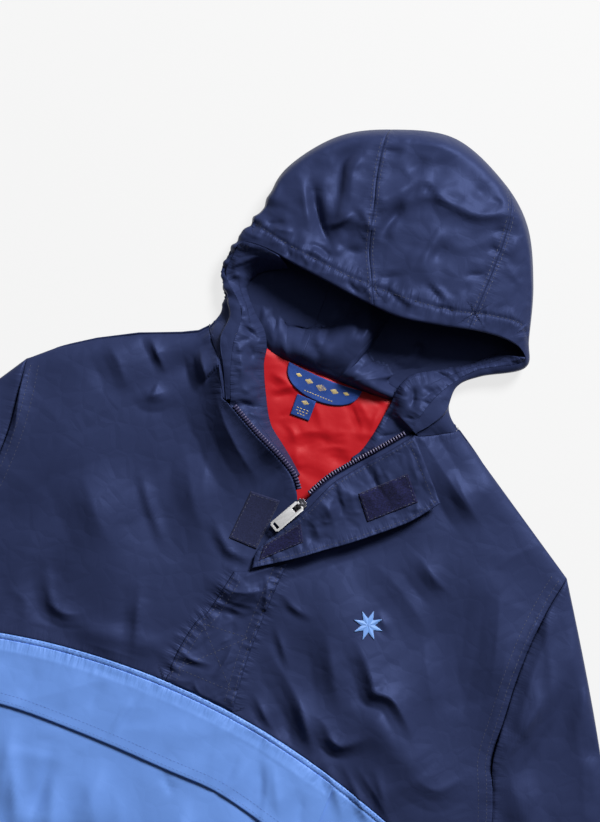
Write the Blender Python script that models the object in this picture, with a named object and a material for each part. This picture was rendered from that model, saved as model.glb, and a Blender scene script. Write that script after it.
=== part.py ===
# Hooded half-zip anorak laid flat on its back: every cut piece is a thin wall of cloth, with a small
# gap at each seam. +X points to the wearer's left, +Y up the garment, +Z up from the surface.
import math

import bmesh
import bpy
import numpy as np
from mathutils import Vector
from mathutils.bvhtree import BVHTree

MM = 0.001

# Cloth and gaps
CLOTH = 1.4 * MM            # wall of every shell piece
TRIM = 1.0 * MM             # wall of labels, patches, tape and lining
SEAM = 0.35 * MM            # gap between two pieces that are sewn together
LOFT = 7.0 * MM             # height of the front's outer face away from folds
EDGE_TOP = 2 * CLOTH + SEAM  # height of the front's outer face where it meets the back
EDGE_RUN = 14.0 * MM        # width of the roll from an edge up to the loft
FLOOR_CLEAR = 4.6 * MM      # lowest height of the front's outer face over back and lining

# Body outline
HEM_Y = -426.0 * MM
HEM_HALF = 250.0 * MM
UNDERARM = (252.8 * MM, -77.2 * MM)
SHOULDER_TIP = (233.6 * MM, 136.0 * MM)
NECK_POINT_LEFT = (-110.5 * MM, 218.0 * MM)
NECK_POINT_RIGHT = (109.0 * MM, 213.5 * MM)
SEAM_TOP_Y = -60.4 * MM     # highest point of the colour-block seam
SEAM_TOP_X = -43.2 * MM
SEAM_BEND = -0.8375         # the seam's fall, per metre squared

# Right armhole from the underarm to the shoulder tip; the left one mirrors it
ARMHOLE_COLUMNS = ("x_mm", "y_mm")
ARMHOLE = [
    (252.8, -77.2),
    (249.0, -62.0),
    (240.0, -39.6),
    (232.0, -20.0),
    (228.6, 14.0),
    (226.0, 46.0),
    (226.0, 80.0),
    (229.0, 110.0),
    (233.6, 136.0),
]

# Sleeve: outer and inner edge at the cuff, and the bow of the outer edge below the shoulder
CUFF_OUTER = (517.0 * MM, -360.0 * MM)
CUFF_INNER = (423.0 * MM, -414.0 * MM)
SLEEVE_BOW = 8.0 * MM         # outward bow of the sleeve's top edge below the shoulder
SLEEVE_BOW_END = 0.6         # share of the sleeve's length at which the bow has gone
SLEEVE_BOW_HEADING = math.radians(30)
SLEEVE_EDGE_DROP = 0.35      # in walls: how far the upper layer's folded edge drops
SLEEVE_WALL_DROP = 0.45      # in walls: the same edge on the inside
SLEEVE_EDGE_INSET = 0.8      # in walls: how far the lower layer's edge stands inside the upper's
SLEEVE_LOFT = 7.5 * MM

# Open half of the zip, from the slider up to each end at the hood
ZIP_LEFT = [(7.0, 118.8), (-2.9, 130.3), (-20.7, 140.4), (-44.0, 150.9), (-69.1, 164.0)]
ZIP_RIGHT = [(16.8, 118.4), (26.5, 137.5), (37.0, 151.6), (54.5, 173.0), (73.1, 196.4)]
CENTRE_TOP = (12.4, 108.0)   # closed zip under the storm flap, top and foot
CENTRE_FOOT = (-4.0, -62.0)

# Hood sections from the left zip end over the crown to the right zip end: where the section leaves
# the neck seam, where it folds over at the outline, where it ends at the face edge, and how much of
# it lies on the ground (0 stands up beside the neck, 1 lies flat)
HOOD_COLUMNS = ("neck_x", "neck_y", "fold_x", "fold_y", "fold_z", "face_x", "face_y", "face_z", "lies")
HOOD_SECTIONS = [
    (-76.0, 166.4, -73.4, 166.9, 16.5, -70.2, 168.4, 18.5, 0.0),
    (-90.0, 192.5, -86.0, 191.0, 18.0, -77.6, 186.5, 22.0, 0.0),
    (-103.0, 208.5, -96.5, 211.0, 16.5, -84.6, 209.5, 23.5, 0.0),
    (-109.5, 220.5, -103.5, 230.0, 11.0, -92.5, 236.0, 21.0, 0.15),
    (-90.0, 220.0, -115.0, 257.5, 6.5, -111.0, 259.0, 16.0, 1.0),
    (-68.0, 217.0, -116.0, 273.0, 7.0, -111.5, 273.5, 18.0, 1.0),
    (-54.0, 215.6, -112.5, 289.5, 8.0, -108.0, 287.5, 24.0, 1.0),
    (-48.0, 215.2, -104.0, 320.0, 8.0, -88.0, 289.5, 29.0, 1.0),
    (-43.0, 215.0, -98.0, 356.0, 8.0, -61.0, 286.0, 34.0, 1.0),
    (-37.0, 215.0, -70.0, 394.5, 8.0, -33.0, 283.0, 39.0, 1.0),
    (-30.0, 215.0, -31.0, 416.5, 8.0, -3.5, 279.8, 42.0, 1.0),
    (-13.0, 215.0, 17.0, 428.5, 8.0, 29.0, 278.3, 43.0, 1.0),
    (2.0, 215.0, 64.0, 412.0, 8.0, 62.5, 284.6, 41.0, 1.0),
    (5.0, 215.0, 97.0, 385.5, 8.0, 89.0, 291.0, 36.0, 1.0),
    (8.0, 215.0, 118.8, 344.0, 8.0, 112.0, 294.0, 30.0, 1.0),
    (9.5, 215.0, 131.8, 302.5, 8.0, 128.5, 291.5, 25.0, 1.0),
    (12.0, 215.0, 137.8, 279.5, 8.0, 133.8, 282.0, 20.0, 1.0),
    (32.0, 215.2, 107.5, 259.8, 6.5, 104.0, 263.8, 15.5, 1.0),
    (72.0, 217.6, 93.5, 245.0, 7.0, 89.0, 246.0, 16.5, 0.9),
    (106.5, 215.0, 93.0, 223.0, 14.0, 80.5, 231.0, 19.5, 0.1),
    (95.5, 205.5, 86.0, 209.5, 16.0, 75.0, 211.5, 20.0, 0.0),
    (79.5, 197.0, 76.6, 198.2, 15.0, 73.8, 199.5, 18.5, 0.0),
]
SEAM_LEFT_SECTION = 10       # the hood's two panel seams run along these sections
SEAM_RIGHT_SECTION = 12
NECK_SECTION_LEFT = 3        # sections that start at the neck points of the shoulders
NECK_SECTION_RIGHT = 19
HOOD_BOW_SECTIONS = (14, 17, 18)   # sections whose lower run bows toward the crown
HOOD_BOWS = (0.0, 7.0 * MM, 0.0)
FOLD_SHARE = 0.5             # share of the mesh rows that lie under the hood
HOOD_GAP = 0.45 * MM         # gap between two hood panels along their seam
HOOD_RUN_COLUMNS = ("share_of_run", "share_of_height")
HOOD_UNDER = [(0.0, 0.0), (0.07, 1.0), (0.2, 0.4), (0.5, 0.0), (0.92, 0.0)]   # neck to fold, of NECK_ROLL
HOOD_UPPER = [(0.0, 0.0), (0.13, 0.42), (0.5, 0.85), (1.0, 1.0)]              # fold to face edge
NECK_ROLL_HALF = 58.0 * MM   # half width of the neck roll
NECK_ROLL = 8.0 * MM         # height of the roll of hood cloth behind the neck

# Inner edges of the facings, from the hood down to the slider
FACING_LEFT_INNER = [(-66.0, 232.0, 8.0), (-59.0, 217.5, 7.0), (-55.9, 203.8, 5.6), (-45.4, 182.2, 4.9),
                     (-33.5, 162.5, 4.9), (-19.4, 151.5, 4.9), (-8.0, 143.0, 4.9), (4.0, 133.0, 4.9)]
FACING_RIGHT_INNER = [(50.0, 246.0, 13.0), (50.5, 229.0, 12.0), (49.4, 212.0, 8.5), (46.5, 189.0, 5.2),
                      (42.3, 170.5, 4.9), (37.0, 161.5, 4.9)]
FACING_LEFT_ZIP = [(-69.1, 164.0), (-44.0, 150.9), (-20.7, 140.4), (-4.0, 131.3)]
FACING_RIGHT_ZIP = [(73.1, 196.4), (54.5, 173.0), (41.5, 157.2)]

# Storm flap folded open over the wearer's left side: zip side and outer side, from the top down
FLAP_ZIP_SIDE = [(76.6, 196.6), (57.5, 171.5), (40.0, 150.0), (29.4, 135.0), (18.2, 107.0),
                 (8.0, 90.0), (-3.0, 71.0), (-6.0, 60.0)]
FLAP_OUTER_SIDE = [(116.0, 154.3), (104.5, 138.0), (92.5, 124.9), (62.0, 98.5), (43.0, 84.0),
                   (30.3, 73.9), (13.0, 61.5), (-3.9, 50.2)]
FLAP_WALL = 2.0 * MM
LAID_GAP = 0.8 * MM          # gap under a piece that lies on a curved one
SEAT_REACH = 1.2 * MM        # how far to each side its seat is felt for
FACING_INSET = 2.6 * MM      # facing's outer edge inside the hood's edge and the zip
FACING_SINK = 1.2 * MM       # and below them
FACING_HOLLOW = 1.3          # above 1 the facing falls later toward its inner edge

# Folds of the front and sleeves: a ridge (height above 0) or trough along a line, in millimetres
FOLD_COLUMNS = ("x1", "y1", "x2", "y2", "half_width", "height")
FRONT_FOLDS = [
    (-112.0, 205.0, -62.0, 104.0, 28.0, 9.0),   # bulge beside the left neck edge
    (98.0, 200.0, 62.0, 150.0, 30.0, 8.0),       # bulge beside the right neck edge
    (-10.0, 122.0, 45.0, 118.0, 26.0, 6.0),      # lift under the slider
    (-152.0, -2.0, -142.0, -56.0, 12.0, -2.4),   # upright troughs on the left chest
    (-76.0, 5.0, -70.0, -48.0, 11.0, -2.4),
    (-118.0, -48.0, -48.0, -36.0, 9.0, 3.2),
    (97.0, 14.0, 122.0, -20.0, 13.0, -2.4),      # hooked trough on the right chest
    (122.0, -20.0, 182.0, -52.0, 13.0, 4.5),
    (150.0, 150.0, 205.0, 20.0, 26.0, 4.0),      # broad ridge inside the right armhole
    (-165.0, 160.0, -205.0, 20.0, 30.0, 4.0),    # broad ridge inside the left armhole
    (-103.0, -140.0, -90.0, -215.0, 17.0, 4.0),  # upright folds of the lower front
    (62.0, -160.0, 88.0, -250.0, 18.0, 4.5),
    (160.0, -165.0, 182.0, -300.0, 18.0, 4.5),
    (-195.0, -165.0, -175.0, -340.0, 18.0, 4.0),
    (-30.0, -260.0, -10.0, -400.0, 20.0, 3.5),
]
SLEEVE_FOLDS = [
    (262.0, 96.0, 246.0, -10.0, 14.0, 4.5),
    (252.0, -20.0, 300.0, -110.0, 13.0, 4.0),
    (300.0, -60.0, 372.0, -130.0, 13.0, -2.5),
    (330.0, -150.0, 372.0, -215.0, 13.0, 4.0),
    (395.0, -230.0, 448.0, -330.0, 12.0, 3.5),
]
FOLD_END = 0.18              # share of a fold's length over which it fades at each end
FOLD_END_HEIGHT = 0.35       # share of its height left at the very end

# Folds of the hood's upper face, same columns
HOOD_FOLDS = [
    (-75.0, 356.0, -44.0, 305.0, 9.0, -4.0),
    (-52.0, 322.0, -16.0, 334.0, 10.0, -3.0),
    (-22.0, 352.0, 8.0, 384.0, 9.0, 4.5),
    (10.0, 382.0, 84.0, 388.0, 9.0, 4.0),
    (0.0, 360.0, -9.0, 318.0, 8.0, -3.0),
    (38.0, 362.0, 27.0, 310.0, 12.0, 3.0),
]
# Folds of the hood's inner face seen through the face opening, same columns
NECK_FOLDS = [
    (-18.0, 262.0, -2.0, 232.0, 9.0, 6.0),
    (-48.0, 236.0, -20.0, 226.0, 8.0, 4.0),
    (20.0, 255.0, 28.0, 225.0, 9.0, 4.0),
]

# Pocket flap below the colour-block seam
POCKET_LEFT_X = -181.0 * MM
POCKET_RIGHT_X = 122.0 * MM
POCKET_BAND = 9.0 * MM       # topstitched band between the seam and the flap
POCKET_BOTTOM = [(-181.0, -133.0), (-150.3, -127.0), (-116.4, -124.6), (-58.6, -124.4), (-7.0, -125.9),
                 (36.3, -127.5), (78.2, -136.3), (138.0, -152.0)]

# Closed lower stretch of the storm flap
PLACKET_LEFT = [(-34.6, -58.0), (-34.2, -33.4), (-29.5, -7.5), (-23.2, 5.6), (-16.5, 41.5)]
PLACKET_RIGHT = [(24.4, -59.6), (20.2, -21.8), (19.5, 19.5), (20.6, 63.2)]
PLACKET_TOP = [(-16.5, 41.5), (-6.0, 46.6), (20.6, 63.2)]

# Patches and labels: four corners each, starting at the lower left, counter-clockwise
HOOK_UPPER = [(64.6, 124.4), (92.4, 156.8), (80.4, 170.6), (49.6, 139.4)]
HOOK_LOWER = [(3.2, 61.0), (29.6, 88.0), (24.4, 98.6), (0.6, 74.5)]
LOOP_PATCH = [(-30.2, 65.0), (-6.5, 64.8), (-3.4, 108.0), (-27.8, 106.5)]
SIZE_TAB = [(-21.6, 176.6), (-5.9, 177.0), (-6.2, 193.4), (-22.4, 193.6)]
LINING_OUTLINE = [(-8.0, 104.0), (28.0, 104.0), (60.0, 146.0), (70.0, 190.0), (64.0, 213.6),
                  (0.0, 213.6), (-66.0, 213.6), (-66.0, 190.0), (-52.0, 150.0)]
LABEL_LEFT_X = -37.8 * MM
LABEL_RIGHT_X = 24.6 * MM
LABEL_TOP_Y = 213.9 * MM
LABEL_DEPTH = 21.0 * MM
LABEL_DIP = 2.0 * MM         # hollow of the label's top edge
LABEL_STEPS = 14
LABEL_ROUND = 0.4            # exponent of the label's lower curve, 0.5 is half an ellipse

# Chest motif: an eight-point star
STAR_CENTRE = (99.2 * MM, 42.2 * MM)
STAR_OUTER = 12.5 * MM
STAR_INNER = 5.6 * MM
STAR_POINTS = 8
STAR_RINGS = 4
STAR_HUB = 0.12              # share of the radius at the innermost ring

# Zip hardware
PIVOT = (12.8 * MM, 111.0 * MM)
PULL_END = (-0.3 * MM, 85.9 * MM)
PULL_WIDTH = 9.5 * MM
PULL_WALL = 1.3 * MM
PULL_BAR = 1.3 * MM          # cross bar that turns in the bridge
PULL_HOLE = (6.0 * MM, 4.6 * MM)
PULL_SLOT = (2.4 * MM, 5.6 * MM)
PULL_RIM = 1.9 * MM
PULL_CORNER = 1.2 * MM
TAPE_START = 0.16            # shares of the open zip where its tape shows
TAPE_STOP = 0.95
SLIDER_LENGTH = 10.5 * MM
SLIDER_WIDTH = 8.6 * MM
SLIDER_WALL = 2.4 * MM
SLIDER_CORNER = 1.6 * MM
BRIDGE_WIDTH = 2.2 * MM
BRIDGE_WALL = 0.9 * MM
BRIDGE_SINK = 0.4 * MM       # how far the bridge's feet stand in the body
BRIDGE_WINDOW = (3.2 * MM, 2.6 * MM)
PIVOT_ABOVE_BODY = 1.2 * MM
TAPE_WIDTH = 4.2 * MM

# Mesh density
ARMHOLE_STEPS = 12
EDGE_CROWD = 0.6             # how much the sleeve's mesh lines crowd toward its edges
SIDE_STEPS = 3
YOKE_COLUMNS = 18
NECK_STEPS = 5
OPENING_STEPS = 6
LOWER_COLUMNS = 28
LOWER_ROWS = 8
POCKET_COLUMNS = 18
POCKET_ROWS = 4
SLEEVE_ROWS = 14
HOOD_ROWS = 18
HOOD_SIDE_STEPS = 15
HOOD_CENTRE_STEPS = 6
HOOD_FINE_STEPS = 8          # points per control row when a hood column is measured
FACING_COLUMNS = 5
FACING_ROWS = 18
FLAP_ROWS = 18
FLAP_COLUMNS = 8
PLACKET_ROWS = 8
PATCH_STEPS = 5
TAPE_ROWS = 12
TAPE_COLUMNS = 2
SHARP_ANGLE = 50             # degrees above which an edge is shaded sharp

# Colours as red, green, blue out of 255, with roughness and metallic
FINISHES = {
    "navy_nylon": ((44, 52, 84), 0.48, 0.0),
    "blue_nylon": ((108, 146, 216), 0.48, 0.0),
    "red_lining": ((205, 32, 42), 0.55, 0.0),
    "hook_and_loop": ((30, 30, 75), 0.95, 0.0),
    "label_weave": ((42, 76, 148), 0.75, 0.0),
    "zip_tape": ((34, 38, 66), 0.8, 0.0),
    "embroidery": ((108, 150, 225), 0.6, 0.0),
    "polished_metal": ((200, 200, 205), 0.25, 1.0),
}


def clear_scene():
    for thing in list(bpy.data.objects):
        bpy.data.objects.remove(thing, do_unlink=True)


def linear(channel):
    share = channel / 255
    return share / 12.92 if share <= 0.04045 else ((share + 0.055) / 1.055) ** 2.4


def make_materials():
    made = {}
    for name, (colour, roughness, metallic) in FINISHES.items():
        material = bpy.data.materials.new(name)
        material.use_nodes = True
        shader = material.node_tree.nodes["Principled BSDF"]
        shader.inputs["Base Color"].default_value = (*(linear(c) for c in colour), 1.0)
        shader.inputs["Roughness"].default_value = roughness
        shader.inputs["Metallic"].default_value = metallic
        made[name] = material
    return made


def add_object(name, mesh, material):
    mesh.materials.append(material)
    thing = bpy.data.objects.new(name, mesh)
    bpy.context.scene.collection.objects.link(thing)
    return thing


def mesh_from(name, vertices, faces):
    mesh = bpy.data.meshes.new(name)
    mesh.from_pydata([tuple(v) for v in vertices], [], faces)
    work = bmesh.new()
    work.from_mesh(mesh)
    bmesh.ops.recalc_face_normals(work, faces=work.faces[:])
    work.to_mesh(mesh)
    work.free()
    mesh.update()
    return mesh


# Catmull-Rom curve through the points, read at places counted in points
def curve_at(points, places):
    points = np.asarray(points, float)
    padded = np.vstack([2 * points[0] - points[1], points, 2 * points[-1] - points[-2]])
    index = np.clip(np.floor(places).astype(int), 0, len(points) - 2)
    t = (places - index)[:, None]
    a, b, c, d = (padded[index + k] for k in range(4))
    cubic = 3 * b - a - 3 * c + d
    return 0.5 * (2 * b + (c - a) * t + (2 * a - 5 * b + 4 * c - d) * t ** 2 + cubic * t ** 3)


# The same curve at given shares of its length
def along(points, shares):
    fine = curve_at(points, np.linspace(0, len(points) - 1, 60 * len(points)))
    run = np.concatenate([[0], np.cumsum(np.linalg.norm(np.diff(fine, axis=0), axis=1))])
    return np.stack([np.interp(np.asarray(shares) * run[-1], run, column) for column in fine.T], axis=1)


def even(count):
    return np.linspace(0, 1, count + 1)


# Patch between four edge curves (each row or column an edge), the sum of the two ruled surfaces less
# the bilinear one
def patch(south, north, west, east):
    u = even(len(south) - 1)[None, :, None]
    v = even(len(west) - 1)[:, None, None]
    ruled = (1 - v) * south[None] + v * north[None] + (1 - u) * west[:, None] + u * east[:, None]
    corners = (1 - v) * ((1 - u) * south[0] + u * south[-1]) + v * ((1 - u) * north[0] + u * north[-1])
    return ruled - corners


# Distance to a straight piece and the share along it
def from_segment(x, y, x1, y1, x2, y2):
    dx, dy = x2 - x1, y2 - y1
    share = np.clip(((x - x1) * dx + (y - y1) * dy) / (dx * dx + dy * dy), 0, 1)
    return np.hypot(x - x1 - share * dx, y - y1 - share * dy), share


# Sum of bell-shaped ridges and troughs that fade at both ends
def folds_at(x, y, table):
    height = np.zeros_like(x)
    for x1, y1, x2, y2, half_width, rise in table:
        gap, share = from_segment(x, y, x1 * MM, y1 * MM, x2 * MM, y2 * MM)
        fade = np.clip(np.minimum(share, 1 - share) / FOLD_END, 0, 1)
        height += rise * MM * np.exp(-(gap / (half_width * MM)) ** 2) \
            * (FOLD_END_HEIGHT + (1 - FOLD_END_HEIGHT) * fade)
    return height


# Quarter-ellipse roll from 0 at an edge to 1 at the run's end
def roll(gap, run):
    return np.sqrt(np.clip(1 - (1 - np.clip(gap / run, 0, 1)) ** 2, 0, 1))


# Height of the front's outer face: loft and folds, rolled down at shoulders and side seams
def front_height(x, y):
    edges = [
        (*NECK_POINT_LEFT, -SHOULDER_TIP[0], SHOULDER_TIP[1]),
        (*NECK_POINT_RIGHT, *SHOULDER_TIP),
        (*UNDERARM, HEM_HALF, HEM_Y),
        (-UNDERARM[0], UNDERARM[1], -HEM_HALF, HEM_Y),
    ]
    gap = np.min([from_segment(x, y, *edge)[0] for edge in edges], axis=0)
    loft = np.maximum(LOFT + folds_at(x, y, FRONT_FOLDS), FLOOR_CLEAR)
    return EDGE_TOP + (loft - EDGE_TOP) * roll(gap, EDGE_RUN)


def colour_seam(x):
    return SEAM_TOP_Y + SEAM_BEND * (x - SEAM_TOP_X) ** 2


def grid_faces(rows, columns, start, wrap=False):
    span = columns if wrap else columns - 1
    corner = [(i, j, i + 1, (j + 1) % columns) for i in range(rows - 1) for j in range(span)]
    return [(start + i * columns + j, start + i * columns + n, start + m * columns + n, start + m * columns + j)
            for i, j, m, n in corner]


# Closed wall between an outer and an inner grid of the same shape; wrapped grids close on themselves
def wall(name, outer, inner, material, wrap=False):
    rows, columns = outer.shape[:2]
    size = rows * columns
    faces = grid_faces(rows, columns, 0, wrap) + grid_faces(rows, columns, size, wrap)
    at = np.arange(size).reshape(rows, columns)
    rims = [at[0], at[-1]] if wrap else [at[0], at[:, -1], at[-1][::-1], at[:, 0][::-1]]
    for rim in rims:
        steps = len(rim) if wrap else len(rim) - 1
        for k in range(steps):
            a, b = int(rim[k]), int(rim[(k + 1) % len(rim)])
            faces.append((a, b, b + size, a + size))
    vertices = np.vstack([outer.reshape(-1, 3), inner.reshape(-1, 3)])
    thing = add_object(name, mesh_from(name, vertices, faces), material)
    thing.data.shade_smooth()
    thing.data.set_sharp_from_angle(angle=math.radians(SHARP_ANGLE))
    return thing


# Wall whose outer face is a plan grid raised to a height, its inner face straight below
def draped(name, plan, height, thickness, material):
    outer = np.dstack([plan, height])
    inner = outer - np.array([0, 0, thickness])
    return wall(name, outer, inner, material)


# Flat plate of a counter-clockwise outline
def plate(name, outline, bottom, thickness, material):
    count = len(outline)
    low = [(x, y, bottom) for x, y in outline]
    high = [(x, y, bottom + thickness) for x, y in outline]
    faces = [tuple(range(count)), tuple(range(count, 2 * count))]
    faces += [(k, (k + 1) % count, (k + 1) % count + count, k + count) for k in range(count)]
    return add_object(name, mesh_from(name, low + high, faces), material)


def in_metres(points):
    return np.asarray(points, float) * MM


def armhole(count_shares):
    return along(in_metres(ARMHOLE), count_shares)


# Shares that crowd a little toward both ends
def ease(count):
    return EDGE_CROWD * (1 - np.cos(np.pi * even(count))) / 2 + (1 - EDGE_CROWD) * even(count)


def build_back(materials):
    side = np.linspace(UNDERARM[1], colour_seam(UNDERARM[0]) + SEAM, SIDE_STEPS + 1)
    right = [(UNDERARM[0] - SEAM, y) for y in side]
    left = [(-UNDERARM[0] + SEAM, y)
            for y in np.linspace(colour_seam(-UNDERARM[0]) + SEAM, UNDERARM[1], SIDE_STEPS + 1)]
    hole = armhole(ease(ARMHOLE_STEPS)) - np.array([SEAM / 2, 0])
    neck = neck_seam(np.arange(NECK_SECTION_RIGHT, NECK_SECTION_LEFT - 1, -0.5), SEAM + CLOTH)
    across = np.linspace(-UNDERARM[0], UNDERARM[0], LOWER_COLUMNS + 1)
    bottom = [(x, colour_seam(x) + SEAM) for x in across[1:-1]]
    outline = left[::-1][-1:] + bottom + right[::-1][:-1] + [tuple(p) for p in hole]
    outline += [tuple(p) for p in neck]
    outline += [(-x, y) for x, y in hole[::-1]] + left[::-1][1:-1]
    plate("back_yoke", outline, 0.0, CLOTH, materials["navy_nylon"])

    low = [(-HEM_HALF, HEM_Y), (HEM_HALF, HEM_Y)]
    high = [(x, colour_seam(x)) for x in across[::-1]]
    plate("back_lower", low + high, 0.0, CLOTH, materials["blue_nylon"])


def build_lining(materials):
    plate("back_lining", in_metres(LINING_OUTLINE), CLOTH + SEAM, TRIM, materials["red_lining"])
    above = CLOTH + TRIM + 2 * SEAM
    middle = (LABEL_LEFT_X + LABEL_RIGHT_X) / 2
    half = (LABEL_RIGHT_X - LABEL_LEFT_X) / 2
    turn = np.linspace(-1, 1, LABEL_STEPS + 1)
    lower = [(middle + half * t, LABEL_TOP_Y - LABEL_DEPTH * (1 - t * t) ** LABEL_ROUND) for t in turn]
    upper = [(middle + half * t, LABEL_TOP_Y - LABEL_DIP * (1 - t * t)) for t in turn[::-1]]
    plate("neck_label", lower + upper[1:-1], above, TRIM, materials["label_weave"])
    shift = LABEL_TOP_Y - LABEL_DEPTH - SEAM - SIZE_TAB[2][1] * MM
    tab = in_metres(SIZE_TAB) + np.array([0, shift])
    plate("size_tab", tab, above, TRIM, materials["label_weave"])


# Neck seam at section places, moved by a gap away from the hood
def neck_seam(places, gap):
    line = curve_at(HOOD_SECTIONS, places)[:, :2] * MM
    run = np.gradient(line, axis=0)
    away = np.column_stack([-run[:, 1], run[:, 0]]) / np.linalg.norm(run, axis=1)[:, None]
    return line + away * gap


def build_front_yokes(materials):
    hole = armhole(ease(ARMHOLE_STEPS)) - np.array([SEAM / 2, 0])
    last = len(HOOD_SECTIONS) - 1
    for name, sign, neck_places, neck_gap, zip_side in (
        ("front_yoke_left", -1, np.linspace(0, NECK_SECTION_LEFT, NECK_STEPS + 1), SEAM, ZIP_LEFT),
        ("front_yoke_right", 1, np.linspace(last, NECK_SECTION_RIGHT, NECK_STEPS + 1), -SEAM, ZIP_RIGHT),
    ):
        side_foot = np.array([hole[0][0], colour_seam(sign * hole[0][0]) + SEAM])
        side = side_foot + (hole[0] - side_foot) * even(SIDE_STEPS)[:-1, None]
        outer_edge = np.vstack([side, hole]) * np.array([sign, 1])

        centre = in_metres([CENTRE_FOOT, CENTRE_TOP]) + np.array([sign * SEAM, 0])
        centre[0][1] = colour_seam(centre[0][0]) + SEAM
        opening = in_metres(zip_side)
        closed_steps = len(outer_edge) - 3 - OPENING_STEPS - NECK_STEPS
        inner_edge = np.vstack([
            centre[0] + (centre[1] - centre[0]) * even(closed_steps)[:, None],
            along(opening, even(OPENING_STEPS)),
            neck_seam(neck_places, neck_gap),
        ])
        share = even(YOKE_COLUMNS)[:, None]
        shoulder = inner_edge[-1] + (outer_edge[-1] - inner_edge[-1]) * share
        south_x = np.linspace(inner_edge[0][0], outer_edge[0][0], YOKE_COLUMNS + 1)
        south = np.stack([south_x, colour_seam(south_x) + SEAM], axis=1)
        plan = patch(south, shoulder, inner_edge, outer_edge)
        height = front_height(plan[..., 0], plan[..., 1])
        draped(name, plan, height, CLOTH, materials["navy_nylon"])


def build_front_lower(materials):
    across = np.linspace(-1, 1, LOWER_COLUMNS + 1)
    top_x = across * (UNDERARM[0] - SEAM)
    south = np.stack([across * HEM_HALF, np.full_like(across, HEM_Y)], axis=1)
    north = np.stack([top_x, colour_seam(top_x)], axis=1)
    west = south[0] + (north[0] - south[0]) * even(LOWER_ROWS)[:, None]
    east = south[-1] + (north[-1] - south[-1]) * even(LOWER_ROWS)[:, None]
    plan = patch(south, north, west, east)
    draped("front_lower", plan, front_height(plan[..., 0], plan[..., 1]), CLOTH, materials["blue_nylon"])

    x = np.linspace(POCKET_LEFT_X, POCKET_RIGHT_X, POCKET_COLUMNS + 1)
    north = np.stack([x, colour_seam(x) - POCKET_BAND], axis=1)
    south = along(in_metres(POCKET_BOTTOM), even(POCKET_COLUMNS))
    west = south[0] + (north[0] - south[0]) * even(POCKET_ROWS)[:, None]
    east = south[-1] + (north[-1] - south[-1]) * even(POCKET_ROWS)[:, None]
    plan = patch(south, north, west, east)
    lay_on(["front_lower"], "pocket_flap", plan, CLOTH, materials["blue_nylon"])


# Highest face of the things below each plan point; the front's height where nothing lies below
def seat_height(things, plan):
    trees = []
    for thing in things:
        thing.data.calc_loop_triangles()
        corners = [tuple(vertex.co) for vertex in thing.data.vertices]
        trees.append(BVHTree.FromPolygons(corners, [tuple(t.vertices) for t in thing.data.loop_triangles]))
    height = front_height(plan[..., 0], plan[..., 1])
    down = Vector((0, 0, -1))
    for place in np.ndindex(height.shape):
        x, y = plan[place]
        starts = [Vector((x + shift, y, 1.0)) for shift in (-SEAT_REACH, 0, SEAT_REACH)]
        hits = [tree.ray_cast(start, down)[0] for tree in trees for start in starts]
        tops = [hit.z for hit in hits if hit is not None]
        height[place] = max(tops) if tops else height[place]
    return height


# Piece lying on others, made from their faces moved out
def lay_on(names, name, plan, thickness, material):
    below = seat_height([bpy.data.objects[one] for one in names], plan)
    return draped(name, plan, below + LAID_GAP + thickness, thickness, material)


def build_sleeves(materials):
    shares = ease(ARMHOLE_STEPS)
    hole = armhole(shares) + np.array([SEAM / 2, 0])
    hole[0] += np.array([SEAM, -SEAM])
    cuff_low, cuff_high = np.array(CUFF_INNER), np.array(CUFF_OUTER)
    cuff = cuff_low + (cuff_high - cuff_low) * shares[:, None]
    t = even(SLEEVE_ROWS)[:, None]
    bow = SLEEVE_BOW * np.sin(np.pi * np.clip(t / SLEEVE_BOW_END, 0, 1)) * shares[None] ** 3
    away = np.array([math.cos(SLEEVE_BOW_HEADING), math.sin(SLEEVE_BOW_HEADING)])
    plan = hole[None] + (cuff - hole)[None] * t[..., None] + bow[..., None] * away
    width = np.linalg.norm(plan[:, -1] - plan[:, 0], axis=1)[:, None]
    from_edge = np.minimum(shares, 1 - shares)[None] * width
    loft = np.maximum(SLEEVE_LOFT + folds_at(plan[..., 0], plan[..., 1], SLEEVE_FOLDS), FLOOR_CLEAR)
    top = EDGE_TOP + (loft - EDGE_TOP) * roll(from_edge, EDGE_RUN)
    lead = (plan[:, -1] - plan[:, 0]) / width
    inset = np.zeros_like(plan)
    inset[:, 0] = lead * CLOTH
    inset[:, -1] = -lead * CLOTH
    rings = []
    for layer, edge_drop in ((0, 0.0), (1, SLEEVE_WALL_DROP * CLOTH)):
        upper = np.dstack([plan + inset * layer, top - layer * CLOTH])
        upper[:, (0, -1), 2] -= edge_drop - layer * CLOTH + SLEEVE_EDGE_DROP * CLOTH
        lower_plan = plan + inset * (SLEEVE_EDGE_INSET + layer)
        lower = np.dstack([lower_plan, np.full_like(top, layer * CLOTH)])
        rings.append(np.concatenate([upper, lower[:, ::-1]], axis=1))
    for name, sign in (("sleeve_left", -1), ("sleeve_right", 1)):
        outer, inner = (ring * np.array([sign, 1, 1]) for ring in rings)
        wall(name, outer, inner, materials["navy_nylon"], wrap=True)


# Grid normals that point away from the wearer: down under the hood, up on its upper face
def outward(grid):
    normal = np.cross(np.gradient(grid, axis=0), np.gradient(grid, axis=1))
    return normal / np.linalg.norm(normal, axis=2, keepdims=True)


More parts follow.
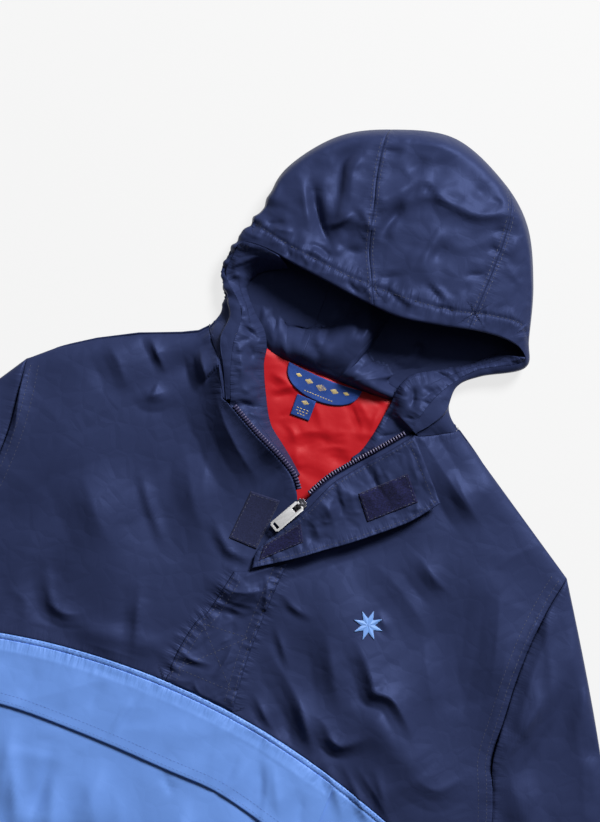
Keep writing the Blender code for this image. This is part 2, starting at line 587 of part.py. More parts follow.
# Hood surface over section places and shares from neck seam to face edge
def hood_grid(places, shares):
    values = curve_at(HOOD_SECTIONS, places) * MM
    neck, fold, face = values[:, 0:2], values[:, 2:5], values[:, 5:8]
    lies = np.clip(values[:, 8] / MM, 0, 1)
    neck_z = (1 - lies) * front_height(neck[:, 0], neck[:, 1])
    neck = np.column_stack([neck, neck_z])
    middle = 1 - np.clip(np.abs(neck[:, 0]) / NECK_ROLL_HALF, 0, 1) ** 2
    rows = []
    reach = (fold - neck)[:, :2]
    bow = np.interp(places, HOOD_BOW_SECTIONS, HOOD_BOWS) * (places < HOOD_BOW_SECTIONS[-1])
    side = np.column_stack([-reach[:, 1], reach[:, 0]]) / np.linalg.norm(reach, axis=1)[:, None]
    for share, lift in HOOD_UNDER:
        point = neck + (fold - neck) * share
        point[:, :2] += side * (bow * 4 * share * (1 - share))[:, None]
        point[:, 2] = (1 - lies) * point[:, 2] + lies * lift * NECK_ROLL * middle
        rows.append(point)
    for share, rise in HOOD_UPPER:
        point = fold + (face - fold) * share
        point[:, 2] = fold[:, 2] + (face[:, 2] - fold[:, 2]) * rise
        rows.append(point)
    rows = np.stack(rows)
    line = np.linspace(0, len(rows) - 1, HOOD_FINE_STEPS * (len(rows) - 1) + 1)
    turn = HOOD_FINE_STEPS * len(HOOD_UNDER)
    flat = curve_at(rows.reshape(len(rows), -1), line).reshape(len(line), -1, 3)
    step = np.linalg.norm(np.diff(flat, axis=0), axis=2)
    run = np.vstack([np.zeros(step.shape[1]), np.cumsum(step, axis=0)])
    grid = np.empty((len(shares), len(places), 3))
    for k in range(len(places)):
        wanted = np.interp(shares, (0, FOLD_SHARE, 1), (0, run[turn, k], run[-1, k]))
        grid[:, k] = np.stack([np.interp(wanted, run[:, k], flat[:, k, axis]) for axis in range(3)], axis=1)
    grid[..., 2] = np.maximum(grid[..., 2], 0)
    facing_up = np.clip(outward(grid)[..., 2], 0, 1)
    inside = np.clip(-outward(grid)[..., 2], 0, 1) * lies[None]
    x, y = grid[..., 0], grid[..., 1]
    grid[..., 2] += facing_up * folds_at(x, y, HOOD_FOLDS) + inside * folds_at(x, y, NECK_FOLDS)
    return grid


# One grid for the whole hood, cut into three panels that stop half a gap short of each other
def build_hood(materials):
    last = len(HOOD_SECTIONS) - 1
    stops = (0, NECK_SECTION_LEFT, SEAM_LEFT_SECTION, SEAM_RIGHT_SECTION, NECK_SECTION_RIGHT, last)
    steps = (NECK_STEPS, HOOD_SIDE_STEPS, HOOD_CENTRE_STEPS, HOOD_SIDE_STEPS, NECK_STEPS)
    spans = [np.linspace(a, b, n + 1)[1:] for a, b, n in zip(stops, stops[1:], steps)]
    outer = hood_grid(np.concatenate([[0.0]] + spans), even(HOOD_ROWS))
    inner = outer - outward(outer) * CLOTH
    across = np.gradient(outer, axis=1)
    shift = across / np.linalg.norm(across, axis=2)[..., None] * (HOOD_GAP / 2)
    first = NECK_STEPS + HOOD_SIDE_STEPS
    second = first + HOOD_CENTRE_STEPS
    for name, start, stop in (
        ("hood_side_left", 0, first),
        ("hood_centre", first, second),
        ("hood_side_right", second, outer.shape[1] - 1),
    ):
        sides = [grid[:, start:stop + 1].copy() for grid in (outer, inner)]
        for side in sides:
            if start > 0:
                side[:, 0] += shift[:, start]
            if stop < outer.shape[1] - 1:
                side[:, -1] -= shift[:, stop]
        wall(name, sides[0], sides[1], materials["navy_nylon"])


# Facing from the face edge and the zip down onto the lining: high outer edge, low inner edge
def build_facings(materials):
    for name, sections, zip_side, inner, sign in (
        ("facing_left", np.linspace(NECK_SECTION_LEFT, 0, 5), FACING_LEFT_ZIP, FACING_LEFT_INNER, 1),
        ("facing_right", np.linspace(NECK_SECTION_RIGHT, len(HOOD_SECTIONS) - 1, 5), FACING_RIGHT_ZIP,
         FACING_RIGHT_INNER, -1),
    ):
        face = curve_at(HOOD_SECTIONS, sections)[:, 5:8] * MM
        zip_line = in_metres(zip_side)
        zip_z = front_height(zip_line[:, 0], zip_line[:, 1]) - CLOTH
        line = np.vstack([face, np.column_stack([zip_line, zip_z])])
        outer = along(line, even(FACING_ROWS))
        outer[:, 2] -= FACING_SINK
        run = np.gradient(outer[:, :2], axis=0)
        away = np.column_stack([-run[:, 1], run[:, 0]]) / np.linalg.norm(run, axis=1)[:, None] * sign
        outer[:, :2] += away * FACING_INSET
        low = along(in_metres(inner), even(FACING_ROWS))
        share = even(FACING_COLUMNS)[None, :, None]
        plan = outer[:, None, :2] + (low - outer)[:, None, :2] * share
        drop = np.cos(np.pi / 2 * share[..., 0] ** FACING_HOLLOW)
        height = low[:, 2:] + (outer - low)[:, 2:] * drop
        draped(name, plan, height, CLOTH, materials["navy_nylon"])


def build_flap(materials):
    inner = along(in_metres(FLAP_ZIP_SIDE), even(FLAP_ROWS))
    outer = along(in_metres(FLAP_OUTER_SIDE), even(FLAP_ROWS))
    plan = inner[:, None] + (outer - inner)[:, None] * even(FLAP_COLUMNS)[None, :, None]
    yokes = ["front_yoke_left", "front_yoke_right"]
    lay_on(yokes, "storm_flap", plan, FLAP_WALL, materials["navy_nylon"])

    left = along(in_metres(PLACKET_LEFT), even(PLACKET_ROWS))
    right = along(in_metres(PLACKET_RIGHT), even(PLACKET_ROWS))
    south_x = np.linspace(left[0][0], right[0][0], PATCH_STEPS + 1)
    south = np.stack([south_x, colour_seam(south_x) + SEAM], axis=1)
    left[0], right[0] = south[0], south[-1]
    top = along(in_metres(PLACKET_TOP), even(PATCH_STEPS))
    plan = patch(south, top, left, right)
    lay_on(yokes, "placket", plan, CLOTH, materials["navy_nylon"])

    for name, corners, below in (
        ("hook_patch_upper", HOOK_UPPER, ["storm_flap"]),
        ("hook_patch_lower", HOOK_LOWER, ["storm_flap"]),
        ("loop_patch", LOOP_PATCH, yokes),
    ):
        a, b, c, d = (np.array(corner) * MM for corner in corners)
        u = even(PATCH_STEPS)[:, None]
        plan = patch(a + (b - a) * u, d + (c - d) * u, a + (d - a) * u, b + (c - b) * u)
        lay_on(below, name, plan, TRIM, materials["hook_and_loop"])


def build_motif(materials):
    points = 2 * STAR_POINTS
    turn = np.arange(points) * math.tau / points
    radius = np.where(np.arange(points) % 2 == 0, STAR_OUTER, STAR_INNER)
    reach = np.linspace(STAR_HUB, 1, STAR_RINGS)[:, None] * radius
    plan = np.dstack([STAR_CENTRE[0] + reach * np.sin(turn), STAR_CENTRE[1] + reach * np.cos(turn)])
    height = seat_height([bpy.data.objects["front_yoke_right"]], plan) + LAID_GAP + TRIM
    top = np.dstack([plan, height])
    fan_wall("chest_motif", top, top - np.array([0, 0, TRIM]), materials["embroidery"])


# Closed plate from concentric rings, its middle filled with one face
def fan_wall(name, top, low, material):
    rows, columns = top.shape[:2]
    size = rows * columns
    faces = grid_faces(rows, columns, 0, True) + grid_faces(rows, columns, size, True)
    faces += [tuple(range(columns)), tuple(range(size, size + columns))]
    edge = size - columns
    faces += [(edge + k, edge + (k + 1) % columns, edge + (k + 1) % columns + size, edge + k + size)
              for k in range(columns)]
    add_object(name, mesh_from(name, np.vstack([top.reshape(-1, 3), low.reshape(-1, 3)]), faces), material)


# Tape and teeth of one side of the open zip, a strip inside the front's edge
def build_tapes(materials):
    for name, zip_side, sign in (("zip_tape_left", ZIP_LEFT, 1), ("zip_tape_right", ZIP_RIGHT, -1)):
        line = along(in_metres(zip_side), np.linspace(TAPE_START, TAPE_STOP, TAPE_ROWS + 1))
        run = np.gradient(line, axis=0)
        away = np.column_stack([run[:, 1], -run[:, 0]]) / np.linalg.norm(run, axis=1)[:, None] * -sign
        near = line - away * SEAM
        far = line - away * (SEAM + TAPE_WIDTH)
        plan = near[:, None] + (far - near)[:, None] * even(TAPE_COLUMNS)[None, :, None]
        height = front_height(line[:, 0], line[:, 1])[:, None] * np.ones((1, TAPE_COLUMNS + 1))
        draped(name, plan, height, TRIM, materials["zip_tape"])


def box_part(size, centre):
    made = bmesh.new()
    bmesh.ops.create_cube(made, size=1.0)
    bmesh.ops.scale(made, vec=size, verts=made.verts)
    bmesh.ops.translate(made, vec=centre, verts=made.verts)
    return made


def object_from(name, work, material):
    bmesh.ops.recalc_face_normals(work, faces=work.faces[:])
    mesh = bpy.data.meshes.new(name)
    work.to_mesh(mesh)
    work.free()
    return add_object(name, mesh, material)


def cut_or_join(thing, other, operation):
    modifier = thing.modifiers.new(operation.title(), "BOOLEAN")
    modifier.operation = operation
    modifier.object = other
    modifier.solver = "EXACT"
    other.hide_render = True
    other.display_type = "WIRE"


# Slider body with a bridge over the pull's cross bar, and the pull lying along the closed zip;
# both built round the pivot with +X along the pull, then turned and set in place
def build_slider(materials):
    metal = materials["polished_metal"]
    heading = math.atan2(PULL_END[1] - PIVOT[1], PULL_END[0] - PIVOT[0])
    reach = math.hypot(PULL_END[0] - PIVOT[0], PULL_END[1] - PIVOT[1])
    pivot_z = slider_height()
    holder = bpy.data.objects.new("zip_pivot", None)
    bpy.context.scene.collection.objects.link(holder)
    holder.location = (*PIVOT, pivot_z)
    holder.rotation_euler = (0, 0, heading)

    body_z = -PIVOT_ABOVE_BODY - SLIDER_WALL / 2
    work = box_part((SLIDER_LENGTH, SLIDER_WIDTH, SLIDER_WALL), (0, 0, body_z))
    upright = [e for e in work.edges if abs(e.verts[0].co.z - e.verts[1].co.z) > SLIDER_WALL / 2]
    bmesh.ops.bevel(work, geom=upright, offset=SLIDER_CORNER, segments=3, affect="EDGES")
    slider = object_from("zip_slider", work, metal)
    window_long, window_high = BRIDGE_WINDOW
    long = window_long + 2 * BRIDGE_WALL
    high = window_high + BRIDGE_WALL + BRIDGE_SINK
    low = -PIVOT_ABOVE_BODY - BRIDGE_SINK
    arch = object_from("bridge", box_part((long, BRIDGE_WIDTH, high), (0, 0, low + high / 2)), metal)
    window = object_from("bridge_window", box_part((window_long, 3 * BRIDGE_WIDTH, window_high),
                                                   (0, 0, -PIVOT_ABOVE_BODY + window_high / 2)), metal)
    cut_or_join(slider, arch, "UNION")
    cut_or_join(slider, window, "DIFFERENCE")

    start = -PULL_BAR / 2
    work = box_part((reach - start, PULL_WIDTH, PULL_WALL), ((reach + start) / 2, 0, 0))
    corners = [e for e in work.edges if abs(e.verts[0].co.z - e.verts[1].co.z) > PULL_WALL / 2]
    bmesh.ops.bevel(work, geom=corners, offset=PULL_CORNER, segments=3, affect="EDGES")
    pull = object_from("zip_pull", work, metal)
    hole_long, hole_wide = PULL_HOLE
    hole = box_part((hole_long, hole_wide, 3 * PULL_WALL), (PULL_BAR / 2 + hole_long / 2, 0, 0))
    slot_long, slot_wide = PULL_SLOT
    slot = box_part((slot_long, slot_wide, 3 * PULL_WALL), (reach - PULL_RIM - slot_long / 2, 0, 0))
    cut_or_join(pull, object_from("pull_hole", hole, metal), "DIFFERENCE")
    cut_or_join(pull, object_from("pull_slot", slot, metal), "DIFFERENCE")
    for thing in (slider, arch, window, pull, bpy.data.objects["pull_hole"], bpy.data.objects["pull_slot"]):
        thing.parent = holder


# Pivot height that keeps the slider and the lying pull clear of the cloth and patches below
def slider_height():
    reach = np.linspace(-SLIDER_LENGTH / 2, math.hypot(PULL_END[0] - PIVOT[0], PULL_END[1] - PIVOT[1]), 13)
    heading = np.array([PULL_END[0] - PIVOT[0], PULL_END[1] - PIVOT[1]])
    heading /= np.linalg.norm(heading)
    side = np.linspace(-PULL_WIDTH / 2, PULL_WIDTH / 2, 5)[:, None]
    x = PIVOT[0] + reach * heading[0] - side * heading[1]
    y = PIVOT[1] + reach * heading[1] + side * heading[0]
    return front_height(x, y).max() + SEAM + SLIDER_WALL + PIVOT_ABOVE_BODY


def main():
    clear_scene()
    materials = make_materials()
    build_back(materials)
    build_lining(materials)
    build_front_yokes(materials)
    build_front_lower(materials)
    build_sleeves(materials)
    build_hood(materials)
    build_facings(materials)
    build_flap(materials)
    build_motif(materials)
    build_tapes(materials)
    build_slider(materials)


main()
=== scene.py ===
import math

import bmesh
import bpy
import numpy as np
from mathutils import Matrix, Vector
from mathutils.bvhtree import BVHTree


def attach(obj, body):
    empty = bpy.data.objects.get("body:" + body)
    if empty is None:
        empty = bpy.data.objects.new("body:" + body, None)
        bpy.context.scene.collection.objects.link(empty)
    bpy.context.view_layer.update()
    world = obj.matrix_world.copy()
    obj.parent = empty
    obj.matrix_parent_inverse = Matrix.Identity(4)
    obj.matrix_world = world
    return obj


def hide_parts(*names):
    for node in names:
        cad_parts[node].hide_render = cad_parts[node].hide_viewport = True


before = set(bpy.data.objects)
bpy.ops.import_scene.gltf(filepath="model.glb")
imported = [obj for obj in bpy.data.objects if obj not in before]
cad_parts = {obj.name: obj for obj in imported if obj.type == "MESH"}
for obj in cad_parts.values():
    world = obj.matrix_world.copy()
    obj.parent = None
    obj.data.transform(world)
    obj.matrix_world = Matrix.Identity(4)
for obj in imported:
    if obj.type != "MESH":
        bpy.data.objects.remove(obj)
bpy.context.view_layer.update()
mm = 0.001
print("frame loaded:", len(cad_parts), "nodes")


shot = {
    "aim": (-15.4, 180.5),      # point of the garment in the middle of the view, mm
    "turn": 22,                 # the garment lies turned clockwise by this in the view, degrees
    "viewHeight": 658,          # stretch of the garment from top to bottom of the view, mm
    "clothLevel": 8,            # level at which that stretch is measured, mm
    "lens": 110, "sensor": 36,  # long lens, so the view is nearly flat
    "near": 0.05, "far": 50,    # m
    "lights": {                 # power; size, then place up and across the view and above the floor, m
        "key": (256, 1.3, 2.3, 1.8, 2.6),
        "panel": (7, 2.6, 1.4, 0.5, 3.2),
        "side": (4, 1.8, 1.5, -2.1, 1.65),
    },
    "sky": 0.045, "skyColour": (0.93, 0.95, 1.0, 1),
    "floorHalf": 30,            # m
    "floorDrop": 0.2,           # below the cloth that rests on it, mm
    "floorColour": (0.12, 0.12, 0.12, 1), "floorGlow": 0.765,
}


# Camera straight above its aim, soft lights set out along the view's own directions, pale floor, dim sky
def makeStage():
    scene = bpy.context.scene
    scene.view_settings.view_transform = "Standard"
    turn = math.radians(shot["turn"])
    up = Vector((-math.sin(turn), math.cos(turn), 0))      # towards the top of the view
    across = Vector((math.cos(turn), math.sin(turn), 0))   # towards its right
    middle = Vector((shot["aim"][0] * mm, shot["aim"][1] * mm, 0))

    camera = bpy.data.cameras.new("camera")
    camera.lens = shot["lens"]
    camera.sensor_width = shot["sensor"]
    camera.clip_start, camera.clip_end = shot["near"], shot["far"]
    viewer = bpy.data.objects.new("camera", camera)
    scene.collection.objects.link(viewer)
    distance = shot["lens"] * shot["viewHeight"] * mm / shot["sensor"]
    viewer.location = (middle.x, middle.y, shot["clothLevel"] * mm + distance)
    viewer.rotation_euler = (0, 0, turn)
    scene.camera = viewer

    for name, (power, size, ahead, aside, above) in shot["lights"].items():
        light = bpy.data.lights.new(name, "AREA")
        light.energy = power
        light.shape = "DISK"
        light.size = size
        lamp = bpy.data.objects.new(name, light)
        scene.collection.objects.link(lamp)
        place = middle + up * ahead + across * aside + Vector((0, 0, above))
        lamp.location = place
        lamp.rotation_euler = (middle - place).to_track_quat("-Z", "Y").to_euler()

    world = bpy.data.worlds.new("studio")
    world.use_nodes = True
    sky = world.node_tree.nodes["Background"]
    sky.inputs["Color"].default_value = shot["skyColour"]
    sky.inputs["Strength"].default_value = shot["sky"]
    scene.world = world

    half, level = shot["floorHalf"], -shot["floorDrop"] * mm
    mesh = bpy.data.meshes.new("floor")
    mesh.from_pydata([(x * half, y * half, level) for x, y in ((-1, -1), (1, -1), (1, 1), (-1, 1))], [],
                     [(0, 1, 2, 3)])
    paper = bpy.data.materials.new("floorPaper")
    paper.use_nodes = True
    shader = paper.node_tree.nodes["Principled BSDF"]
    shader.inputs["Base Color"].default_value = shot["floorColour"]
    shader.inputs["Roughness"].default_value = 0.9
    shader.inputs["Specular IOR Level"].default_value = 0.1
    shader.inputs["Emission Color"].default_value = (1, 1, 1, 1)
    shader.inputs["Emission Strength"].default_value = shot["floorGlow"]
    mesh.materials.append(paper)
    floor = bpy.data.objects.new("floor", mesh)
    scene.collection.objects.link(floor)


makeStage()
print("camera, floor and lights are up")


# Curve through the points: a cubic over each span, steered by the points beside it; places count in points
def curveAt(points, places):
    points = np.asarray(points, float)
    padded = np.vstack([2 * points[0] - points[1], points, 2 * points[-1] - points[-2]])
    places = np.asarray(places, float)
    index = np.clip(np.floor(places).astype(int), 0, len(points) - 2)
    t = (places - index)[:, None]
    a, b, c, d = (padded[index + k] for k in range(4))
    return 0.5 * (2 * b + (c - a) * t + (2 * a - 5 * b + 4 * c - d) * t**2 + (3 * b - a - 3 * c + d) * t**3)


# Polyline at shares of its length
def lineShare(line, shares):
    run = np.concatenate([[0], np.cumsum(np.linalg.norm(np.diff(line, axis=0), axis=1))])
    return np.stack([np.interp(np.asarray(shares) * run[-1], run, column) for column in line.T], axis=1)


# The curve through the points at shares of its length
def curveShare(points, shares):
    return lineShare(curveAt(points, np.linspace(0, len(points) - 1, 40 * len(points))), shares)


# Even shares from 0 to 1
def steps(count):
    return np.linspace(0, 1, count + 1)


# Points given in mm, as an array in metres
def metres(points):
    return np.asarray(points, float) * mm


# Curve through points given in mm, at even shares of its length
def evenCurve(points, count):
    return curveShare(metres(points), steps(count))


# Unit vectors square to a line, to its left as it runs
def leftOf(line):
    run = np.gradient(line, axis=0)
    return np.column_stack([-run[:, 1], run[:, 0]]) / np.linalg.norm(run, axis=1)[:, None]


# Line moved sideways by a gap in mm, to its left as it runs
def besideLine(line, gap):
    return line + leftOf(line) * gap * mm


# Smooth step of shares from 0 to 1: 3t^2 - 2t^3
def ease(t):
    return t * t * (3 - 2 * t)


# Patch between four edge curves: the sum of the two ruled surfaces less the bilinear one
def patchOf(south, north, west, east):
    u = steps(len(south) - 1)[None, :, None]
    v = steps(len(west) - 1)[:, None, None]
    ruled = (1 - v) * south[None] + v * north[None] + (1 - u) * west[:, None] + u * east[:, None]
    corners = (1 - v) * ((1 - u) * south[0] + u * south[-1]) + v * ((1 - u) * north[0] + u * north[-1])
    return ruled - corners


# Smooth noise from -1 to 1: a random slope at each whole point, blended with 6t^5 - 15t^4 + 10t^3
def noiseAt(x, y, seed):
    turn = np.random.default_rng(seed).uniform(0, math.tau, (64, 64))
    column, row = np.floor(x).astype(int), np.floor(y).astype(int)
    fx, fy = x - column, y - row
    easeX, easeY = (t**3 * (t * (6 * t - 15) + 10) for t in (fx, fy))

    def corner(dx, dy):
        heading = turn[(column + dx) % 64, (row + dy) % 64]
        return np.cos(heading) * (fx - dx) + np.sin(heading) * (fy - dy)

    low = corner(0, 0) + easeX * (corner(1, 0) - corner(0, 0))
    high = corner(0, 1) + easeX * (corner(1, 1) - corner(0, 1))
    return 1.5 * (low + easeY * (high - low))


# Nearest place on a line for each point: distance, length along the line, and which side the point is on
def nearestOn(line, x, y):
    start, run = line[:-1], np.diff(line, axis=0)
    length = np.linalg.norm(run, axis=1)
    dx, dy = x.ravel()[:, None] - start[:, 0], y.ravel()[:, None] - start[:, 1]
    share = np.clip((dx * run[:, 0] + dy * run[:, 1]) / length**2, 0, 1)
    gapX, gapY = dx - share * run[:, 0], dy - share * run[:, 1]
    gap = np.hypot(gapX, gapY)
    best = gap.argmin(axis=1)
    pick = np.arange(x.size)
    along = np.concatenate([[0], np.cumsum(length)])[best] + share[pick, best] * length[best]
    side = np.sign(run[best, 0] * gapY[pick, best] - run[best, 1] * gapX[pick, best])
    return [values.reshape(x.shape) for values in (gap[pick, best], along, side)]


# Points inside a line's box widened by a reach in mm
def closeTo(line, x, y, reach):
    low, high = line.min(axis=0) - reach * mm, line.max(axis=0) + reach * mm
    return (x > low[0]) & (x < high[0]) & (y > low[1]) & (y < high[1])


# Swell along a line, from 0 at its ends to 1 past a share of its length
def swellAt(line, along, endShare):
    share = along / np.linalg.norm(np.diff(line, axis=0), axis=1).sum()
    return np.clip(np.minimum(share, 1 - share) / endShare, 0, 1)


# Creases: along each path a bell of its half width, wider on one side by its lean (left of the path
# above 0), that swells from a tail height at its ends; with no tail its crest is drawn to a blunt edge.
# Sizes are in mm.
def creaseHeight(x, y, rows, tail=0.0, endShare=0.4):
    total = np.zeros(x.shape)
    for path, halfWidth, height, lean in rows:
        line = evenCurve(path, 4 * len(path)) if len(path) > 2 else metres(path)
        near = closeTo(line, x, y, 2.7 * halfWidth * (1 + abs(lean)))
        if not near.any():
            continue
        gap, along, side = nearestOn(line, x[near], y[near])
        swell = swellAt(line, along, endShare)
        share = gap / (halfWidth * mm * (1 + lean * side))
        if tail:
            bell = np.exp(-share**2)
        else:
            swell = ease(swell)
            bell = np.exp(0.5 - np.sqrt(0.25 + 1.7 * share**2))
        total[near] += height * mm * bell * (tail + (1 - tail) * swell)
    return total


# Slopes of lying folds: a straight fall across each path, lower on its right as it runs where the rise is
# above 0. The high side stands 0.68 of the rise above the cloth and the low side 0.32 below it; both even
# out again beyond the half width, over 1.6 of it, and the fall swells from nothing at the path's ends.
def slopeHeight(x, y, rows):
    total = np.zeros(x.shape)
    for path, halfWidth, rise in rows:
        line = evenCurve(path, 5 * len(path))
        near = closeTo(line, x, y, 7 * halfWidth)
        if not near.any():
            continue
        gap, along, side = nearestOn(line, x[near], y[near])
        gap = gap / (halfWidth * mm)
        fall = np.minimum(gap, 1) * np.exp(-np.maximum(gap - 1, 0) / 1.6)
        part = np.where(side * rise > 0, 0.68, 0.32)
        total[near] += rise * part * mm * side * fall * ease(swellAt(line, along, 0.5))
    return total


# Puckers: short ridges square to a seam, their spacing set by noise along it, that fade away from it
def puckerHeight(x, y, seam, reach, height, spacing, seed):
    total = np.zeros(x.shape)
    near = closeTo(seam, x, y, 2.6 * reach)
    if near.any():
        gap, along, side = nearestOn(seam, x[near], y[near])
        across = side * gap / (reach * mm)
        ridge = noiseAt(along / (spacing * mm), across * 0.45 + 5.5, seed)
        patches = 0.55 + 0.6 * noiseAt(along / (5 * spacing * mm), across * 0 + 2.5, seed + 1)
        total[near] = height * mm * ridge * np.clip(patches, 0.1, 1.2) * np.exp(-(across / 1.1) ** 2)
    return total


# Groove along a seam or stitch line: a narrow trough of a depth and half width in mm
def grooveHeight(x, y, line, depth, halfWidth):
    total = np.zeros(x.shape)
    near = closeTo(line, x, y, 3 * halfWidth)
    if near.any():
        total[near] = -depth * mm * np.exp(-(nearestOn(line, x[near], y[near])[0] / (halfWidth * mm)) ** 2)
    return total


# Points turned by a heading in degrees and scaled by a size in mm, drawn out by a stretch along the heading
def turnedPlaces(x, y, size, heading, stretch):
    turn = math.radians(heading)
    u = (x * math.cos(turn) + y * math.sin(turn)) / (size * stretch * mm)
    return u, (-x * math.sin(turn) + y * math.cos(turn)) / (size * mm)


# Crumple: ridges where stretched noise crosses zero, as thin cloth shows between its larger folds
def crumpleHeight(x, y, size, height, heading, stretch, seed):
    u, v = turnedPlaces(x, y, size, heading, stretch)
    bend = noiseAt(u * 0.7 + 11.3, v * 0.7 + 4.1, seed + 3)
    ridge = 1 - np.abs(noiseAt(u + 0.5 * bend + 31.7, v + 0.5 * bend + 17.9, seed))
    return height * mm * (ridge**3 - 0.45)


# Net of crisp straight creases, as crumpled thin cloth keeps: they run along the borders between scattered
# cells, each with its own height up or down, and fade out where three cells meet
def creaseNet(x, y, size, width, height, heading, stretch, seed):
    u, v = turnedPlaces(x, y, size, heading, stretch)
    random = np.random.default_rng(seed)
    shiftU, shiftV = random.uniform(0.05, 0.95, (2, 64, 64))
    share = random.uniform(0, 1, (64, 64))
    column, row = np.floor(u).astype(int), np.floor(v).astype(int)
    gaps, spots = [], []
    for du in (-1, 0, 1):
        for dv in (-1, 0, 1):
            cu, cv = (column + du) % 64, (row + dv) % 64
            spotU, spotV = column + du + shiftU[cu, cv], row + dv + shiftV[cu, cv]
            gaps.append(np.hypot(u - spotU, v - spotV))
            spots.append((spotU, spotV, share[cu, cv]))
    gaps = np.array(gaps)
    order = np.argsort(gaps, axis=0)[:3]
    near = np.take_along_axis(gaps, order, axis=0)
    place = np.take_along_axis(np.array(spots), order[:2, None], axis=0)
    apart = np.hypot(place[0, 0] - place[1, 0], place[0, 1] - place[1, 1])
    border = (near[1] ** 2 - near[0] ** 2) / (2 * np.maximum(apart, 1e-6)) * size / width
    strength = np.sin(97.3 * (place[0, 2] + place[1, 2]))
    meeting = np.clip((near[2] - near[1]) / 0.35, 0, 1)
    return height * mm * strength * np.exp(0.35 - np.sqrt(0.1225 + border**2)) * ease(meeting)


# A piece's nets, each given as size, crease width, height, heading, stretch and seed
def netHeight(x, y, rows):
    return sum(creaseNet(x, y, *row) for row in rows)


# Unit normals of a grid: the columns' direction crossed with the rows'
def gridNormal(grid):
    normal = np.cross(np.gradient(grid, axis=1), np.gradient(grid, axis=0))
    return normal / np.maximum(np.linalg.norm(normal, axis=2), 1e-12)[..., None]


# Flat coordinates of a grid in metres: the lengths walked along its rows and down its columns
def flatCoordinates(grid):
    across = np.linalg.norm(np.diff(grid, axis=1), axis=2)
    down = np.linalg.norm(np.diff(grid, axis=0), axis=2)
    u = np.concatenate([np.zeros((grid.shape[0], 1)), np.cumsum(across, axis=1)], axis=1)
    v = np.concatenate([np.zeros((1, grid.shape[1])), np.cumsum(down, axis=0)], axis=0)
    return np.dstack([u - u[:, -1:] / 2, v])


# Mesh of quads over a grid of points; the UV map holds the cloth's flat coordinates in metres
def gridMesh(name, grid, flip=False, wrap=False):
    rows, columns = grid.shape[:2]
    at = np.arange(rows * columns).reshape(rows, columns)
    east = np.roll(at, -1, axis=1)
    span = slice(None) if wrap else slice(0, columns - 1)
    quads = [at[:-1, span], east[:-1, span], east[1:, span], at[1:, span]]
    faces = np.stack(quads[::-1] if flip else quads, axis=2).reshape(-1, 4)
    mesh = bpy.data.meshes.new(name)
    mesh.from_pydata(grid.reshape(-1, 3), [], faces)
    layer = mesh.uv_layers.new(name="flatCloth")
    flat = flatCoordinates(grid).reshape(-1, 2)[faces.ravel()]
    layer.data.foreach_set("uv", flat.ravel().astype(np.float32))
    mesh.shade_smooth()
    mesh.update()
    return mesh


# Piece in the scene with its material, riding on its body
def addPiece(name, mesh, material, body="garment"):
    mesh.materials.append(material)
    piece = bpy.data.objects.new(name, mesh)
    bpy.context.scene.collection.objects.link(piece)
    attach(piece, body)
    return piece


# Each point's place by its nearest seam: along it, away from it, and how tightly that seam is gathered
def markSeams(mesh, grid, seams):
    x, y = grid[..., 0].ravel(), grid[..., 1].ravel()
    spot = np.zeros((len(x), 3))
    spot[:, 1] = 1.0
    for line, strength in seams:
        near = closeTo(line, x, y, 30)
        if near.any():
            gap, along = nearestOn(line, x[near], y[near])[:2]
            closer = gap < spot[near, 1]
            rows = np.flatnonzero(near)[closer]
            spot[rows] = np.column_stack([along, gap, np.full(len(gap), strength)])[closer]
    layer = mesh.attributes.new("seamSpot", "FLOAT_VECTOR", "POINT")
    layer.data.foreach_set("vector", spot.ravel().astype(np.float32))


shoulderBow = {     # mm; (x, shift outward) along the shoulder seam worn on the right, and its reach inward
    "line": [(-109.5, 220.5), (-231.0, 137.0)], "reach": 30,
    "shift": [(-300, 0), (-250, 0.5), (-231, 2.0), (-212, 5.2), (-185, 5.4), (-157, 2.4), (-129, -4.4),
              (-118, -6.0), (-111, -4.0), (-104, 0), (0, 0)],
}


# Shoulder bow: points near the seam move square to it, by a bell of their distance from it
def bowShoulder(grid):
    (x0, y0), (x1, y1) = metres(shoulderBow["line"])
    out = np.array([y1 - y0, x0 - x1]) / math.hypot(x1 - x0, y1 - y0)
    gap = (grid[..., 0] - x0) * out[0] + (grid[..., 1] - y0) * out[1]
    x, shift = np.transpose(shoulderBow["shift"])
    move = np.interp(grid[..., 0] / mm, x, shift) * mm * np.exp(-(gap / (shoulderBow["reach"] * mm)) ** 2)
    grid[..., :2] += move[..., None] * out
    return grid


pieces = {}


# Cloth piece in place of a solid: a sheet over a grid, its wall growing inward from the grid, away from
# its normals
def addCloth(name, node, grid, wall, finish, flip=False, wrap=False, seams=()):
    mesh = gridMesh(name, bowShoulder(grid.copy()), flip, wrap)
    piece = addPiece(name, mesh, materials[finish])
    markSeams(mesh, grid, seams)
    thick = piece.modifiers.new("wall", "SOLIDIFY")
    thick.thickness = wall * mm
    thick.offset = -1
    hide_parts(node)
    pieces[name] = piece
    return piece


